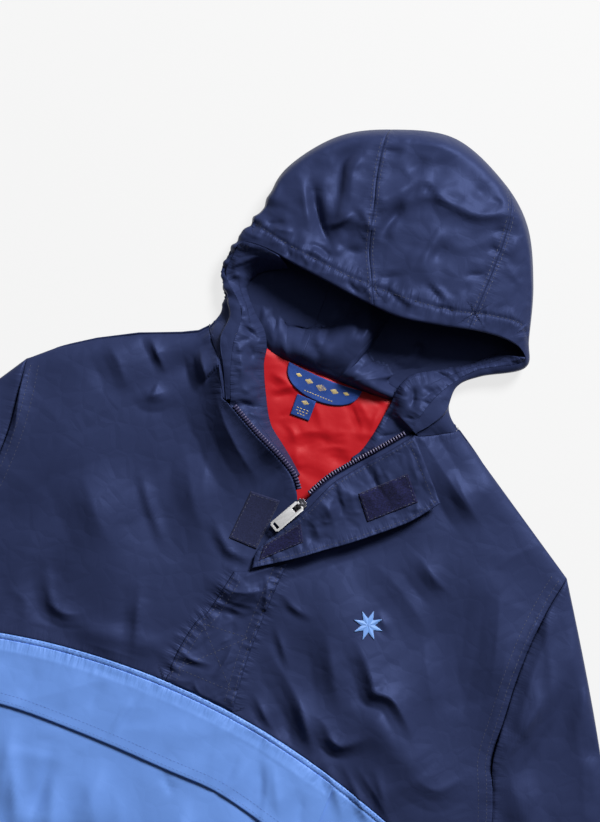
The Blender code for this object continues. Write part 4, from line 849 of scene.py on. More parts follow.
hoodForm = {        # mm; (path, half width, height, lean)
    "folds": [
        (((-75, 356), (-44, 305)), 9, -4.0, 0), (((-52, 322), (-16, 334)), 10, -3.0, 0),
        (((-22, 352), (8, 384)), 9, 4.5, 0), (((10, 382), (84, 388)), 9, 4.0, 0),
        (((0, 360), (-9, 318)), 8, -3.0, 0), (((38, 362), (27, 310)), 12, 3.0, 0),
    ],
    "creases": [
        (((-79.2, 357.5), (-71.5, 346.8), (-62.5, 333.2), (-50.7, 319), (-35.3, 304.5)), 3.6, -3.4, 0.2),
        (((-84.4, 355.4), (-75.6, 340), (-65.4, 323.4), (-54.8, 312.1)), 4.6, 2.4, 0),
        (((-69.1, 358.1), (-59.4, 340.5), (-49.3, 328.2)), 4, 1.8, 0),
        (((-48.1, 402), (-52.8, 388), (-57.3, 375.8), (-52.8, 356.1), (-48.8, 337.8),
          (-48.8, 324.9)), 6, -3.4, 0),
        (((-41.5, 398.6), (-44.7, 385.3), (-47.6, 371.1), (-42.4, 351.7), (-36.5, 343.7)), 5, 2, 0),
        (((-54, 322.8), (-43.9, 327.8), (-35.9, 337.9), (-31.8, 344.7)), 3.8, 3, 0.4),
        (((-36.7, 314.3), (-22.2, 312.4), (-11.2, 319.4), (-8.9, 330.7)), 8, -3.6, 0),
        (((-31.8, 344.7), (-20.5, 338.1), (-11.5, 333.1)), 3, 1.8, 0),
        (((-39.2, 346.1), (-28.5, 345.2), (-20.9, 345.7)), 3, 1.4, 0),
        (((-8.9, 330.7), (-5.9, 340.5), (-3.3, 351.1), (-1, 362.4), (3.8, 367.8)), 3.4, -2.8, 0.3),
        (((-0.6, 353), (-1.5, 342.3), (-2.3, 331.6)), 4.6, 2, 0),
        (((-1.6, 363.9), (2.6, 375), (4.6, 387.1)), 3.6, -2.4, 0),
        (((3.2, 364.9), (9.7, 370.2), (16.2, 375.4), (26.6, 375.3), (40.9, 374.1), (55.7, 375.8),
          (69.1, 381.2),
          (90.4, 392.5)), 3.4, 3, -0.3),
        (((4.3, 387.8), (11.9, 384), (23.6, 378.4), (36.4, 376.7), (51.3, 378.3), (63.1, 383.1)), 3, 2.2, 0),
        (((10.9, 380.1), (21.6, 375), (35.8, 373.8), (52.2, 376.1)), 2.2, -1.6, 0),
        (((8, 385), (13.4, 380.3), (18.1, 377)), 2.6, -2.2, 0),
        (((34.4, 360.3), (32.1, 340.4), (27.9, 314.5)), 3, 1.6, 0.4),
        (((40, 363.4), (38.6, 341.3), (37.2, 319.2)), 8, -2, 0),
        (((-33.8, 396.6), (-25.5, 397.4), (-14.5, 400.1)), 1.8, -1.6, 0),
        (((-60.5, 304.7), (-48.9, 305.9), (-35.6, 300.9)), 2, -1.8, 0),
        (((-60.4, 300.4), (-48.6, 300.9), (-36.4, 296.3)), 2.4, 1.2, 0),
        (((-0.1, 300.6), (10.6, 304.1), (22.3, 311.4)), 1.8, -1.5, 0),
        (((35.6, 312.5), (45.3, 307.8), (59.4, 300.5)), 2, -2, 0),
        (((39.8, 315), (50.5, 309.9), (64.3, 303.4)), 2.6, 1.4, 0),
        (((63.1, 323.6), (69, 330.3), (77.9, 333.9), (81.1, 343)), 2, -1.4, 0),
        (((35.4, 327.9), (39.8, 338.3), (44.7, 345.5)), 2.4, -1.3, 0),
        (((59.8, 391.3), (66.7, 391.5), (73.8, 390.9)), 2, -1.6, 0),
        (((72.5, 355.8), (78.2, 356.5), (84.3, 356.3)), 2, -1.6, 0),
        (((71.5, 366.7), (76.9, 370.6), (82.2, 374.5)), 2, -1.4, 0),
        (((-21, 407.8), (-1.9, 413.8), (18.1, 417.6), (36.9, 413.9)), 6, 1.4, 0),
        (((2, 404.2), (-2.4, 393.7), (-8, 386.3)), 5, -1.8, 0),
        (((42.9, 399.1), (54.8, 391), (70.4, 384.4)), 6, -1.4, 0),
        (((-101, 345.2), (-97.7, 332.8), (-96.5, 321.2)), 5, 1.4, 0),
        (((-100.3, 309.3), (-89.4, 310.2), (-80.4, 315.6)), 3, -1.6, 0),
        (((-92.5, 307.2), (-82.4, 307.9), (-71.2, 309.8)), 2.6, 1.2, 0),
        (((-21.9, 292.6), (-13.1, 285.8), (-3.3, 282.9)), 2.4, -1.6, 0),
        (((-11.7, 295.1), (-2.2, 288.6), (8.9, 282.7)), 2.4, 1.2, 0),
        (((6.4, 297.2), (18.9, 291.9), (34.4, 287.8)), 2.6, -1.6, 0),
        (((14.2, 295.2), (26.9, 293.4), (42.4, 289.3)), 2.2, 1.2, 0),
        (((51.3, 292.9), (61.1, 298.6), (72.4, 296.3)), 2, -1.4, 0),
        (((-74.4, 300.8), (-72, 294.8), (-66, 288.6)), 2, -1.4, 0),
        (((-64.9, 302.9), (-58.3, 295.2), (-50.3, 288.1)), 2.2, 1.2, 0),
        (((91.9, 352.5), (93.5, 363.5), (92.3, 375.1)), 4, 1.2, 0),
    ],
    "slopes": [
        (((-79.8, 359), (-71.5, 346.8), (-62.5, 333.2), (-50.7, 319), (-34, 303.3)), 2.8, 2.6),
        (((-48.1, 402), (-52.8, 388), (-57.3, 375.8), (-52.8, 356.1), (-48.8, 337.8),
          (-49.5, 324.6)), 4.2, 3.6),
        (((-52.2, 327), (-30.5, 324.5), (-5.6, 322.6)), 11, 7),
    ],
    "innerSlopes": [
        (((0.2, 282.6), (6.3, 263.5), (5.5, 239.9)), 3.4, 6),
        (((-21.1, 258.5), (-21, 241.2), (-9.7, 230.3)), 3, -4),
        (((25.6, 249.7), (41.1, 245.6), (54.8, 246)), 3, 3.4),
        (((-39.7, 240.6), (-27.8, 232.5), (-10.9, 233.3)), 3, 2.6),
        (((-49.8, 231.3), (-40.5, 221.3), (-30.1, 216.8)), 3, -3),
        (((0.3, 237.8), (16.5, 234), (30.7, 232.8)), 2.6, 3),
    ],
    "inner": [
        (((-11.4, 266.7), (-1.1, 256.2), (13.8, 244.9)), 8, 5, 0),
        (((-18.7, 252.5), (-15.7, 262.4), (-11, 267.7)), 4, 2.6, 0),
        (((16.7, 250.5), (25.1, 242.6), (36.4, 240.3)), 6, -3, 0),
        (((56.1, 272.4), (52.9, 259.1), (53, 241.8)), 6, 4, 0),
        (((-55.2, 244.7), (-45.6, 238.2), (-34.1, 239.4), (-21.6, 251.3)), 4, -2.4, 0),
        (((-33.6, 236.1), (-22.4, 232), (-14.4, 224.9)), 2.6, -2.4, 0),
        (((-29, 239.7), (-17.1, 235.9), (-7.6, 229.4)), 3.4, 2, 0),
        (((6.4, 237.6), (15.3, 232.6), (24.2, 227.6)), 2.2, -2.6, 0),
        (((5.8, 217.6), (9.1, 226.7), (15.3, 232.6)), 2.2, -2, 0),
        (((9.9, 241.7), (20.3, 237.2), (30.7, 232.8)), 3.4, 1.8, 0),
        (((-76.9, 251.4), (-70, 238.7), (-71.1, 224.4)), 4, 2.2, 0),
        (((-69.5, 254.4), (-60.5, 240.8), (-58.1, 226.2)), 3.4, -2.2, 0),
        (((-90.2, 246), (-81.6, 237.4), (-79.7, 224.4)), 3.4, -2, 0),
        (((-45.7, 219.2), (-35.2, 225.1), (-17.4, 223.7)), 4, 1.8, 0),
    ],
    "casing": [(-110, 300), (-104, 304.5), (-74, 299), (-25, 294), (-7, 293.5), (27, 294), (66, 299),
               (96, 307), (121, 310), (131, 301)],
    "crumple": (60, 1.2, 80, 1.7, 71), "nets": [(30, 4.5, 1.0, 70, 1.3, 75), (15, 2.6, 0.5, 30, 1.4, 77)],
    "innerNets": [(26, 4.5, 1.8, 75, 1.6, 91)],
    "casingPuckers": (9, 2.0, 4.5, 81), "seamPuckers": (6, 0.5, 5),
    "casingGroove": (1.0, 1.6), "seamGroove": (0.1, 1.2), "creaseShare": 1.5, "innerShare": 1.2,
    "ruffle": {"x": -112, "reach": 16, "from": (226, 12), "upTo": (345, 30), "waves": (6.5, 30),
               "height": 2.6},          # from and upTo: y, and the stretch over which it fades
    "faceTurn": 2.0, "faceTurnShare": 0.012,
    "clear": 1.02,      # least height of the cloth's outer face
}


# Neck seam at section places, moved away from the hood by a gap in metres
def neckSeam(places, gap):
    return besideLine(curveAt(hoodCut["sections"], places)[:, :2] * mm, gap / mm)


# Place of the last hood section
def lastSection():
    return len(hoodCut["sections"]) - 1


# Front yoke: a patch between colour seam, shoulder, armhole side and centre side
def yokeGrid(sign):
    gap = bodyCut["seamGap"] * mm
    hole = evenCurve(bodyCut["armhole"], 160) - (gap / 2, 0)
    foot = (hole[0][0], colourSeam(sign * hole[0][0]) + gap)
    centre = metres([bodyCut["centreFoot"], bodyCut["centreTop"]]) + (sign * gap, 0)
    centre[0][1] = colourSeam(centre[0][0]) + gap
    side, first, last = ("Left", 0, "neckLeft") if sign < 0 else ("Right", lastSection(), "neckRight")
    neck = neckSeam(np.linspace(first, hoodCut[last], 60), -sign * gap)
    opening = evenCurve(bodyCut["zip" + side], 80)
    down, aside = crowd(frontForm["rows"]), crowd(frontForm["columns"])[:, None]
    west = lineShare(np.vstack([centre, opening, neck]), down)
    east = lineShare(np.vstack([[foot], hole]) * (sign, 1), down)
    north = west[-1] + (east[-1] - west[-1]) * aside
    southX = (west[0, 0] + (east[0, 0] - west[0, 0]) * aside)[:, 0]
    south = np.stack([southX, colourSeam(southX) + gap], axis=1)
    plan = patchOf(south, north, west, east)
    if sign < 0:
        plan = plan[:, ::-1]
    grid = np.dstack([plan, frontHeight(plan[..., 0], plan[..., 1])])
    turnDown(grid, [colourSeamLine() + (0, gap), hole * (sign, 1)], 0.35, 1.6)
    turnDown(grid, [neck], 0.5, 2.0)
    return turnDown(grid, [opening], 0.6, 1.2)


# Two front yokes, each gathered along the seams and openings round it
def makeYokes():
    for name, node, sign in (("yokeLeft", "front_yoke_left", -1), ("yokeRight", "front_yoke_right", 1)):
        seams = [(evenCurve(bodyCut["armhole"], 60) * (sign, 1), 0.45), (colourSeamLine(), 0.5)]
        if sign < 0:
            seams += [(neckSeam(np.linspace(0, hoodCut["neckLeft"], 30), 0), 0.8),
                      (evenCurve(placketCut["left"], 30), 1.0), (evenCurve(bodyCut["zipLeft"], 30), 0.5)]
        else:
            seams += [(neckSeam(np.linspace(hoodCut["neckRight"], lastSection(), 30), 0), 0.8),
                      (evenCurve(placketCut["right"], 30), 0.7)]
        addCloth(name, node, yokeGrid(sign), bodyCut["wall"], "navyNylon", seams=seams)


lowerCut = {        # mm
    "rows": 120, "crowding": 1.9, "columns": 200, "pocketLeft": -181, "pocketRight": 122,
    "stitchDrop": 4.8, "bandRise": 0.5, "bandGroove": (0.7, 1.2),       # depth, half width
    "bottom": [(-181.0, -133.0), (-150.3, -127.0), (-116.4, -124.6), (-58.6, -124.4), (-7.0, -125.9),
               (36.3, -127.5), (78.2, -136.3), (138.0, -152.0)],
    "flapRise": 2.0, "flapWall": 0.9, "flapRows": 46, "flapColumns": 190,
    "flapCreases": [
        (((-51, -76), (-57, -98), (-60, -122)), 3.0, 1.1, 0.3),
        (((-46, -74), (-51, -98), (-53, -120)), 3.5, -0.9, 0),
        (((42, -90), (40, -116), (28, -140)), 2.6, -1.0, 0.3),
        (((50, -90), (48, -112), (40, -134)), 3.4, 0.9, 0),
        (((56, -84), (66, -104), (80, -134)), 6.0, -1.9, 0),
        (((68, -86), (78, -104), (92, -130)), 5.0, 1.3, 0),
        (((100, -98), (104, -112), (112, -136)), 5.0, -1.2, 0),
        (((-98, -74), (-102, -94), (-98, -118)), 7.0, 0.9, 0),
        (((-138, -80), (-134, -100), (-140, -124)), 7.0, -1.0, 0),
        (((-10, -76), (-8, -96), (-14, -118)), 8.0, 0.8, 0),
        (((14, -78), (20, -96), (18, -120)), 8.0, -0.8, 0),
        (((-164, -90), (-160, -108), (-164, -128)), 7.0, 1.0, 0),
        (((-78, -76), (-82, -92), (-80, -110)), 5.0, -0.8, 0),
    ],
    "flapPuckers": (8, 0.9, 4.5, 61), "flapHang": 1.1,
}


# Line that runs below the colour seam by a drop in mm
def belowSeam(drop, half=252):
    x = np.linspace(-half, half, 160) * mm
    return np.stack([x, colourSeam(x) - drop * mm], axis=1)


# Extra height of the lower front: the turned band that stands between the seam and its stitching
def bandHeight(x, y):
    drop = (colourSeam(x) - y) / (lowerCut["stitchDrop"] * mm)
    band = np.sqrt(np.clip(1 - np.clip(2 * drop - 1, -1, 1) ** 2, 0, 1)) * (drop < 1)
    depth, halfWidth = lowerCut["bandGroove"]
    groove = depth * np.exp(-((drop - 1) * lowerCut["stitchDrop"] / halfWidth) ** 2)
    return (lowerCut["bandRise"] * band - groove) * mm


# Lower front: ruled between the colour seam and the hem, with finer rows near the seam
def makeLowerFront():
    across = np.linspace(-1, 1, lowerCut["columns"] + 1)
    topX = across * (bodyCut["underarm"][0] - bodyCut["seamGap"]) * mm
    south = np.stack([across * bodyCut["hemHalf"] * mm, np.full(across.shape, bodyCut["hemY"] * mm)], axis=1)
    north = np.stack([topX, colourSeam(topX)], axis=1)
    down = (1 - (1 - steps(lowerCut["rows"])) ** lowerCut["crowding"])[:, None, None]
    plan = south + (north - south) * down
    x, y = plan[..., 0], plan[..., 1]
    grid = np.dstack([plan, frontHeight(x, y) + bandHeight(x, y)])
    turnDown(grid, [colourSeamLine()], 0.5, 1.4)
    turnDown(grid, [south], 0.8, 3)
    addCloth("lowerFront", "front_lower", grid, bodyCut["wall"], "blueNylon",
             seams=[(belowSeam(lowerCut["stitchDrop"]), 0.8)])


# Flap over the pocket: hangs from the stitching under the band, lifted a little along its free edge
def makePocketFlap():
    cut = lowerCut
    seam = belowSeam(cut["stitchDrop"])
    x = np.linspace(cut["pocketLeft"], cut["pocketRight"], cut["flapColumns"] + 1) * mm
    north = np.stack([x, colourSeam(x) - cut["stitchDrop"] * mm], axis=1)
    bottom = metres(cut["bottom"])
    bottom[-1] = (x[-1], np.interp(x[-1], bottom[:, 0], bottom[:, 1]))
    south = curveShare(bottom, steps(cut["flapColumns"]))
    down = crowd(cut["flapRows"])[:, None, None]
    plan = south + (north - south) * down
    x, y, hang = plan[..., 0], plan[..., 1], 1 - down[..., 0]
    height = frontHeight(x, y) + (cut["flapRise"] * np.clip(6 * hang, 0, 1) + cut["flapHang"] * hang**2) * mm
    height += creaseHeight(x, y, cut["flapCreases"]) + puckerHeight(x, y, seam, *cut["flapPuckers"])
    grid = turnDown(np.dstack([plan, height]), [south], 1.0, 2.2)
    addCloth("pocketFlap", "pocket_flap", grid, cut["flapWall"], "blueNylon", seams=[(seam, 0.9)])


# Hood surface over section places and shares from the neck seam to the face edge, walked by length: the
# under layer rolls up at the neck and lies flat to the fold, and the upper layer rises from there
def hoodSurface(places, shares):
    cut = hoodCut
    values = curveAt(cut["sections"], places) * mm
    neck, fold, face = values[:, 0:2], values[:, 2:5], values[:, 5:8]
    lies = np.clip(values[:, 8] / mm, 0, 1)
    neck = np.column_stack([neck, (1 - lies) * frontHeight(neck[:, 0], neck[:, 1], False)])
    middle = 1 - np.clip(np.abs(neck[:, 0]) / (cut["rollHalf"] * mm), 0, 1) ** 2
    reach = (fold - neck)[:, :2]
    bowAt, bowBy = np.transpose(cut["bow"])
    bow = np.interp(places, bowAt, bowBy) * mm * (places < bowAt[-1])
    side = np.column_stack([-reach[:, 1], reach[:, 0]]) / np.linalg.norm(reach, axis=1)[:, None]
    rows = []
    waver = np.interp(places, *np.transpose(cut["waver"]))
    for share, lift in cut["under"]:
        away = share * (waver if share < 0.3 else np.ones(len(places)))
        point = neck + (fold - neck) * away[:, None]
        point[:, :2] += side * (bow * 4 * away * (1 - away))[:, None]
        point[:, 2] = (1 - lies) * point[:, 2] + lies * lift * cut["roll"] * mm * middle
        rows.append(point)
    for share, rise in cut["upper"]:
        point = fold + (face - fold) * share
        point[:, 2] = fold[:, 2] + (face[:, 2] - fold[:, 2]) * rise
        rows.append(point)
    line = np.linspace(0, len(rows) - 1, cut["fine"] * (len(rows) - 1) + 1)
    turn = cut["fine"] * len(cut["under"])
    fine = curveAt(np.reshape(rows, (len(rows), -1)), line).reshape(len(line), -1, 3)
    step = np.linalg.norm(np.diff(fine, axis=0), axis=2)
    run = np.vstack([np.zeros(step.shape[1]), np.cumsum(step, axis=0)])
    grid = np.empty((len(shares), len(places), 3))
    for k in range(len(places)):
        wanted = np.interp(shares, (0, 0.5, 1), (0, run[turn, k], run[-1, k]))
        grid[:, k] = np.stack([np.interp(wanted, run[:, k], fine[:, k, axis]) for axis in range(3)], axis=1)
    return grid, lies


# Columns of a grid resampled between two cut lines given as places for every row
def cutColumns(grid, places, starts, stops, shares):
    cut = np.empty((grid.shape[0], len(shares), 3))
    for row in range(grid.shape[0]):
        wanted = starts[row] + (stops[row] - starts[row]) * shares
        cut[row] = np.stack([np.interp(wanted, places, grid[row, :, axis]) for axis in range(3)], axis=1)
    return cut


# Hood detail by height: upper face folds, creases, casing and puckers; inner face folds and creases. The
# left side is gathered by a ruffle square to the cloth, and the face edge turns down.
def hoodDetail(grid, lies, shares, seams):
    form, x, y = hoodForm, grid[..., 0], grid[..., 1]
    up = -gridNormal(grid)[..., 2]
    upper = np.clip(up, 0, 1) * (shares[:, None] > 0.5)
    inside = np.clip(-up, 0, 1) * (shares[:, None] <= 0.5) * lies
    casing = evenCurve(form["casing"], 80)
    face = creaseHeight(x, y, form["folds"], tail=0.35, endShare=0.18)
    face += form["creaseShare"] * creaseHeight(x, y, form["creases"]) + slopeHeight(x, y, form["slopes"])
    face += crumpleHeight(x, y, *form["crumple"]) + netHeight(x, y, form["nets"])
    face += grooveHeight(x, y, casing, *form["casingGroove"])
    face += puckerHeight(x, y, casing, *form["casingPuckers"])
    for number, seam in enumerate(seams):
        face += grooveHeight(x, y, seam, *form["seamGroove"])
        face += puckerHeight(x, y, seam, *form["seamPuckers"], 85 + 2 * number)
    lining = form["innerShare"] * creaseHeight(x, y, form["inner"]) + slopeHeight(x, y, form["innerSlopes"])
    lining += netHeight(x, y, form["innerNets"])
    grid[..., 2] += upper * face + inside * lining
    ruffle = form["ruffle"]
    (low, fadeIn), (high, fadeOut), (tall, wide) = (ruffle[key] for key in ("from", "upTo", "waves"))
    gathered = np.exp(-((x / mm - ruffle["x"]) / ruffle["reach"]) ** 2) \
        * np.clip((y / mm - low) / fadeIn, 0, 1) * np.clip((high - y / mm) / fadeOut, 0, 1)
    waves = noiseAt(y / (tall * mm), x / (wide * mm) + 3, 93)
    grid -= gridNormal(grid) * (gathered * waves * ruffle["height"] * mm)[..., None]
    edge = np.clip((1 - shares) / form["faceTurnShare"], 0, 1)[:, None]
    grid[..., 2] -= form["faceTurn"] * mm * (1 - np.sqrt(1 - (1 - edge) ** 2)) * lies
    grid[..., 2] = np.maximum(grid[..., 2], form["clear"] * mm)
    return grid


# Hood in three panels: one surface cut along the two seam lines, its edges drawn apart and in at each seam
def makeHood():
    under, over = hoodCut["rows"]
    shares = np.concatenate([np.linspace(0, 0.5, under + 1), 1 - 0.5 * (1 - steps(over)[1:]) ** 1.25])
    places = np.linspace(0, lastSection(), hoodCut["places"])
    base, lies = hoodSurface(places, shares)
    left, right = (
        hoodCut["seam" + side] + np.interp(shares, *curveAt(swing, np.linspace(0, len(swing) - 1, 60)).T)
        for side, swing in (("Left", hoodCut["swingLeft"]), ("Right", hoodCut["swingRight"])))
    first, last = np.zeros(len(shares)), np.full(len(shares), float(lastSection()))
    wide, narrow = (int(hoodCut["columns"] * share) for share in hoodCut["panelShares"])
    lines = [cutColumns(base, places, cut, cut, np.zeros(1))[under:, 0, :2] for cut in (left, right)]
    casing = evenCurve(hoodForm["casing"], 80)
    for name, node, start, stop, count in (
        ("hoodLeft", "hood_side_left", first, left, wide),
        ("hoodCrown", "hood_centre", left, right, narrow),
        ("hoodRight", "hood_side_right", right, last, hoodCut["columns"] - wide - narrow),
    ):
        columns = crowd(count, hoodCut["crowding"])
        grid = cutColumns(base, places, start, stop, columns)
        level = np.interp(start[:, None] + (stop - start)[:, None] * columns, places, lies)
        across = np.gradient(grid, axis=1)
        shift = across / np.linalg.norm(across, axis=2)[..., None] * hoodCut["seamGap"] * mm
        grid = hoodDetail(grid, level, shares, lines)
        normal = -gridNormal(grid)
        for column, sign, seamed in ((0, 1, name != "hoodLeft"), (-1, -1, name != "hoodRight")):
            if seamed:
                grid[:, column] -= sign * shift[:, column] + normal[:, column] * hoodCut["seamSink"] * mm
        addCloth(name, node, grid, hoodCut["wall"], "navyNylon", flip=True,
                 seams=[(casing, 1.0), (lines[0], 0.45), (lines[1], 0.45)])
    return lines


facingCut = {       # mm
    "leftInner": [(-66.0, 283.0, 13.0), (-84.0, 273.0, 6.0), (-92.0, 258.0, 5.0), (-80.0, 242.0, 7.0),
                  (-66.0, 230.0, 8.0), (-59.0, 217.5, 7.0), (-55.9, 203.8, 5.6), (-45.4, 182.2, 4.9),
                  (-33.5, 162.5, 4.9), (-19.4, 151.5, 4.9), (-8.0, 143.0, 4.9), (4.0, 133.0, 4.9)],
    "rightInner": [(112.0, 281.0, 9.0), (96.0, 266.0, 6.0), (74.0, 252.0, 9.0), (58.0, 242.0, 12.0),
                   (50.5, 229.0, 12.0), (49.4, 212.0, 8.5), (46.5, 189.0, 5.2),
                   (42.3, 170.5, 4.9), (37.0, 161.5, 4.9)],
    "leftZip": [(-69.1, 164.0), (-44.0, 150.9), (-20.7, 140.4), (-4.0, 131.3)],
    "rightZip": [(73.1, 196.4), (54.5, 173.0), (41.5, 157.2)],
    "inset": 0.05, "sink": 0.25, "wall": 1.0, "rows": 150, "columns": 34,
    "beyondNeck": (4.3, 3.4),       # hood sections from the neck's two ends to where the facings start
    "underFront": 1.6, "creaseShare": 1.6, "fallPower": 1.3,
    "creases": [
        (((-96, 268), (-102, 262), (-107, 258)), 3.5, 1.5, 0),
        (((-84, 250), (-94, 247), (-100, 243)), 3.5, -1.4, 0),
        (((-86.6, 228.5), (-76.2, 224.1), (-64.9, 221.8)), 2.6, -1.8, 0),
        (((-76.1, 215.5), (-68.7, 209.9), (-66.6, 200.4)), 2.4, -1.6, 0),
        (((-72.3, 227.4), (-63.4, 218.1), (-60.4, 206.3)), 3.2, 1.8, 0),
        (((-77.6, 206.3), (-70.6, 195.3), (-68, 182.5)), 3, 1.6, 0),
        (((-64.8, 195.9), (-56.4, 192.4), (-48.4, 185.3)), 2.4, -1.6, 0),
        (((-68.3, 179), (-58.2, 179.6), (-46.9, 177.3)), 2.4, 1.4, 0),
        (((-69.7, 169.8), (-57.5, 169.5), (-42.7, 166.9)), 2.2, -1.6, 0),
        (((-55.1, 163.6), (-45, 164.2), (-37, 165.7)), 2.2, 1.4, 0),
        (((-38.5, 156.5), (-30.5, 158), (-22.1, 154.5)), 2.2, -1.2, 0),
        (((-16.8, 149.8), (-10.5, 147.1), (-1.6, 142.1)), 2, 1, 0),
        (((65.7, 248.7), (77.3, 249.9), (92.2, 247.3)), 2, -1.8, 0),
        (((69.6, 260.6), (80.9, 258.3), (92.5, 250.9)), 2, -1.6, 0),
        (((66.9, 254.4), (78.8, 254.9), (90.4, 251.8)), 2.4, 1.6, 0),
        (((59.6, 234.1), (63.9, 225.5), (67.2, 213.1)), 2.4, -2.2, 0),
        (((70, 221.1), (75.9, 232.1), (83.9, 242.3)), 2.2, -1.6, 0),
        (((50, 240.6), (54.5, 225.2), (54.6, 208)), 5, 2.2, 0),
        (((53.4, 219.6), (52.2, 205.3), (49.6, 190.4)), 2.6, -1.8, 0),
        (((49.9, 202.6), (48.1, 189.8), (44.9, 176.4)), 2.4, 1.4, 0),
        (((48.5, 184.8), (57.4, 188.4), (65.1, 194.9)), 2.2, -1.6, 0),
        (((44.6, 172.9), (52.9, 178), (61.5, 186.6)), 2.2, 1.2, 0),
    ],
    "nets": [(13, 2.6, 2.0, 20, 1.6, 101)],
}


# Facing: falls from the face edge and the zip to its inner edge on the lining, as a quarter cosine
def makeFacings():
    cut, (left, right) = facingCut, facingCut["beyondNeck"]
    for name, node, start, stop, side, sign in (
        ("facingLeft", "facing_left", hoodCut["neckLeft"] + left, 0, "left", 1),
        ("facingRight", "facing_right", hoodCut["neckRight"] - right, lastSection(), "right", -1),
    ):
        sections = np.linspace(start, stop, 40)
        face = curveAt(hoodCut["sections"], sections)[:, 5:8] * mm
        zipLine = evenCurve(cut[side + "Zip"], 40)
        zipLevel = frontHeight(*zipLine.T, False) - (bodyCut["wall"] + cut["underFront"]) * mm
        outer = lineShare(np.vstack([face, np.column_stack([zipLine, zipLevel])]), steps(cut["rows"]))
        outer[:, 2] -= cut["sink"] * mm
        outer[:, :2] = besideLine(outer[:, :2], cut["inset"] * sign)
        low = evenCurve(cut[side + "Inner"], cut["rows"])
        share = crowd(cut["columns"])[None, :]
        plan = outer[:, None, :2] + (low - outer)[:, None, :2] * share[..., None]
        height = low[:, 2:] + (outer - low)[:, 2:] * np.cos(math.pi / 2 * share ** cut["fallPower"])
        x, y = plan[..., 0], plan[..., 1]
        body = cut["creaseShare"] * creaseHeight(x, y, cut["creases"]) + netHeight(x, y, cut["nets"])
        grid = np.dstack([plan, height + body * np.sin(math.pi * (0.08 + 0.92 * share)) ** 0.5])
        turnDown(grid, [low[:, :2]], 0.6, 1.6)
        flip = gridNormal(grid)[..., 2].mean() < 0
        addCloth(name, node, grid, cut["wall"], "navyNylon", flip=flip,
                 seams=[(low[:, :2], 0.9), (outer[:, :2], 0.7)])


liningCut = {       # mm
    "south": [(-8, 104), (28, 104)], "north": [(-68, 217.0), (66, 217.0)],
    "west": [(-8, 104), (-30, 127), (-52, 150), (-63, 172), (-68, 190), (-68, 217.0)],
    "east": [(28, 104), (44, 125), (60, 146), (68, 168), (72, 190), (66, 217.0)],
    "level": 2.9, "wall": 0.7, "rows": 90, "columns": 90,
    "rise": 0.8, "labelTop": (212, 5), "labelSink": 0.6,        # labelTop: y, and the stretch of the fall
    "slopes": [
        (((15.3, 205), (27.5, 191.8), (39.6, 176.9)), 2.6, 3),
        (((42.2, 178.8), (40, 195.1), (41.2, 211.2)), 3, -2.2),
        (((-51.7, 197.7), (-38.6, 195.3), (-27, 192.2)), 3.4, 2.4),
        (((-13.8, 151), (-1.4, 162.9), (18.1, 168.2)), 5, 2.6),
        (((-19.3, 190.2), (-5.6, 181.9), (4, 166.8)), 5, 2),
        (((11.4, 152.5), (22.1, 160.3), (36.7, 162.7)), 4, 2.2),
        (((-23.1, 169.6), (-12.7, 165.2), (-4.9, 154.6)), 3, -1.6),
        (((-53.9, 215.9), (-42.6, 213.5), (-31.3, 211.2)), 2.2, 1.8),
    ],
    "creases": [
        (((18.7, 202.9), (29, 192.4), (38.8, 180.9)), 2.4, -2, 0.3),
        (((23, 207.3), (34.4, 198.1), (43.1, 189.5)), 4, 1.4, 0),
        (((-44.8, 185), (-34.2, 192.8), (-22.8, 200.8)), 3.4, 1.8, 0),
        (((-41.5, 181.2), (-30.6, 188.2), (-20.8, 193.9)), 3.4, -1.4, 0),
        (((1.3, 169.1), (16.7, 165), (31, 172.5)), 6, -1.8, 0),
        (((1.8, 176.3), (16.7, 173.7), (29.5, 180.5)), 6, 1.2, 0),
        (((-33.5, 165.4), (-22.2, 163.1), (-11.7, 158.7)), 5, -1.2, 0),
        (((-6.7, 159), (-4.9, 145.9), (4.4, 135.9)), 5, 1, 0),
        (((20, 156.9), (29.6, 154.7), (37.3, 161.3)), 5, -1, 0),
        (((29, 211.4), (38.3, 210), (46.9, 210)), 3, -1.2, 0),
    ],
    "nets": [(30, 5.0, 0.9, 25, 1.6, 111)],
}


# Height of the lining: its level with folds and a net of creases, sunk below the neck label's top edge
def liningHeight(x, y):
    body = creaseHeight(x, y, liningCut["creases"]) + slopeHeight(x, y, liningCut["slopes"])
    body += netHeight(x, y, liningCut["nets"])
    start, stretch = liningCut["labelTop"]
    top = np.clip((y / mm - start) / stretch, 0, 1)
    rise = (liningCut["rise"] * mm + body) * (1 - top) - liningCut["labelSink"] * mm * top
    return liningCut["level"] * mm + rise


# Red lining in the neck: a patch between four curves at the height of the lining
def makeLining():
    cut = liningCut
    plan = patchOf(*(lineShare(metres(cut[side]), steps(cut["columns"])) for side in ("south", "north")),
                   *(evenCurve(cut[side], cut["rows"]) for side in ("west", "east")))
    grid = np.dstack([plan, liningHeight(plan[..., 0], plan[..., 1])])
    addCloth("lining", "back_lining", grid, cut["wall"], "redLining")


# Four-sided patch with straight sides, in as many steps each way
def quadPlan(corners, count):
    a, b, c, d = corners
    u = steps(count)[:, None]
    return patchOf(a + (b - a) * u, d + (c - d) * u, a + (d - a) * u, b + (c - b) * u)


labelCut = {        # mm
    "left": -37.8, "right": 24.6, "top": 213.9, "depth": 21.0, "dip": 2.0, "round": 0.4, "rows": 26,
    "columns": 64, "above": 1.0, "wall": 0.7,
    "tab": [(-21.6, 176.6), (-5.9, 177.0), (-6.2, 193.4), (-22.4, 193.6)], "tabLift": -1.05, "tabSink": 0.2,
}


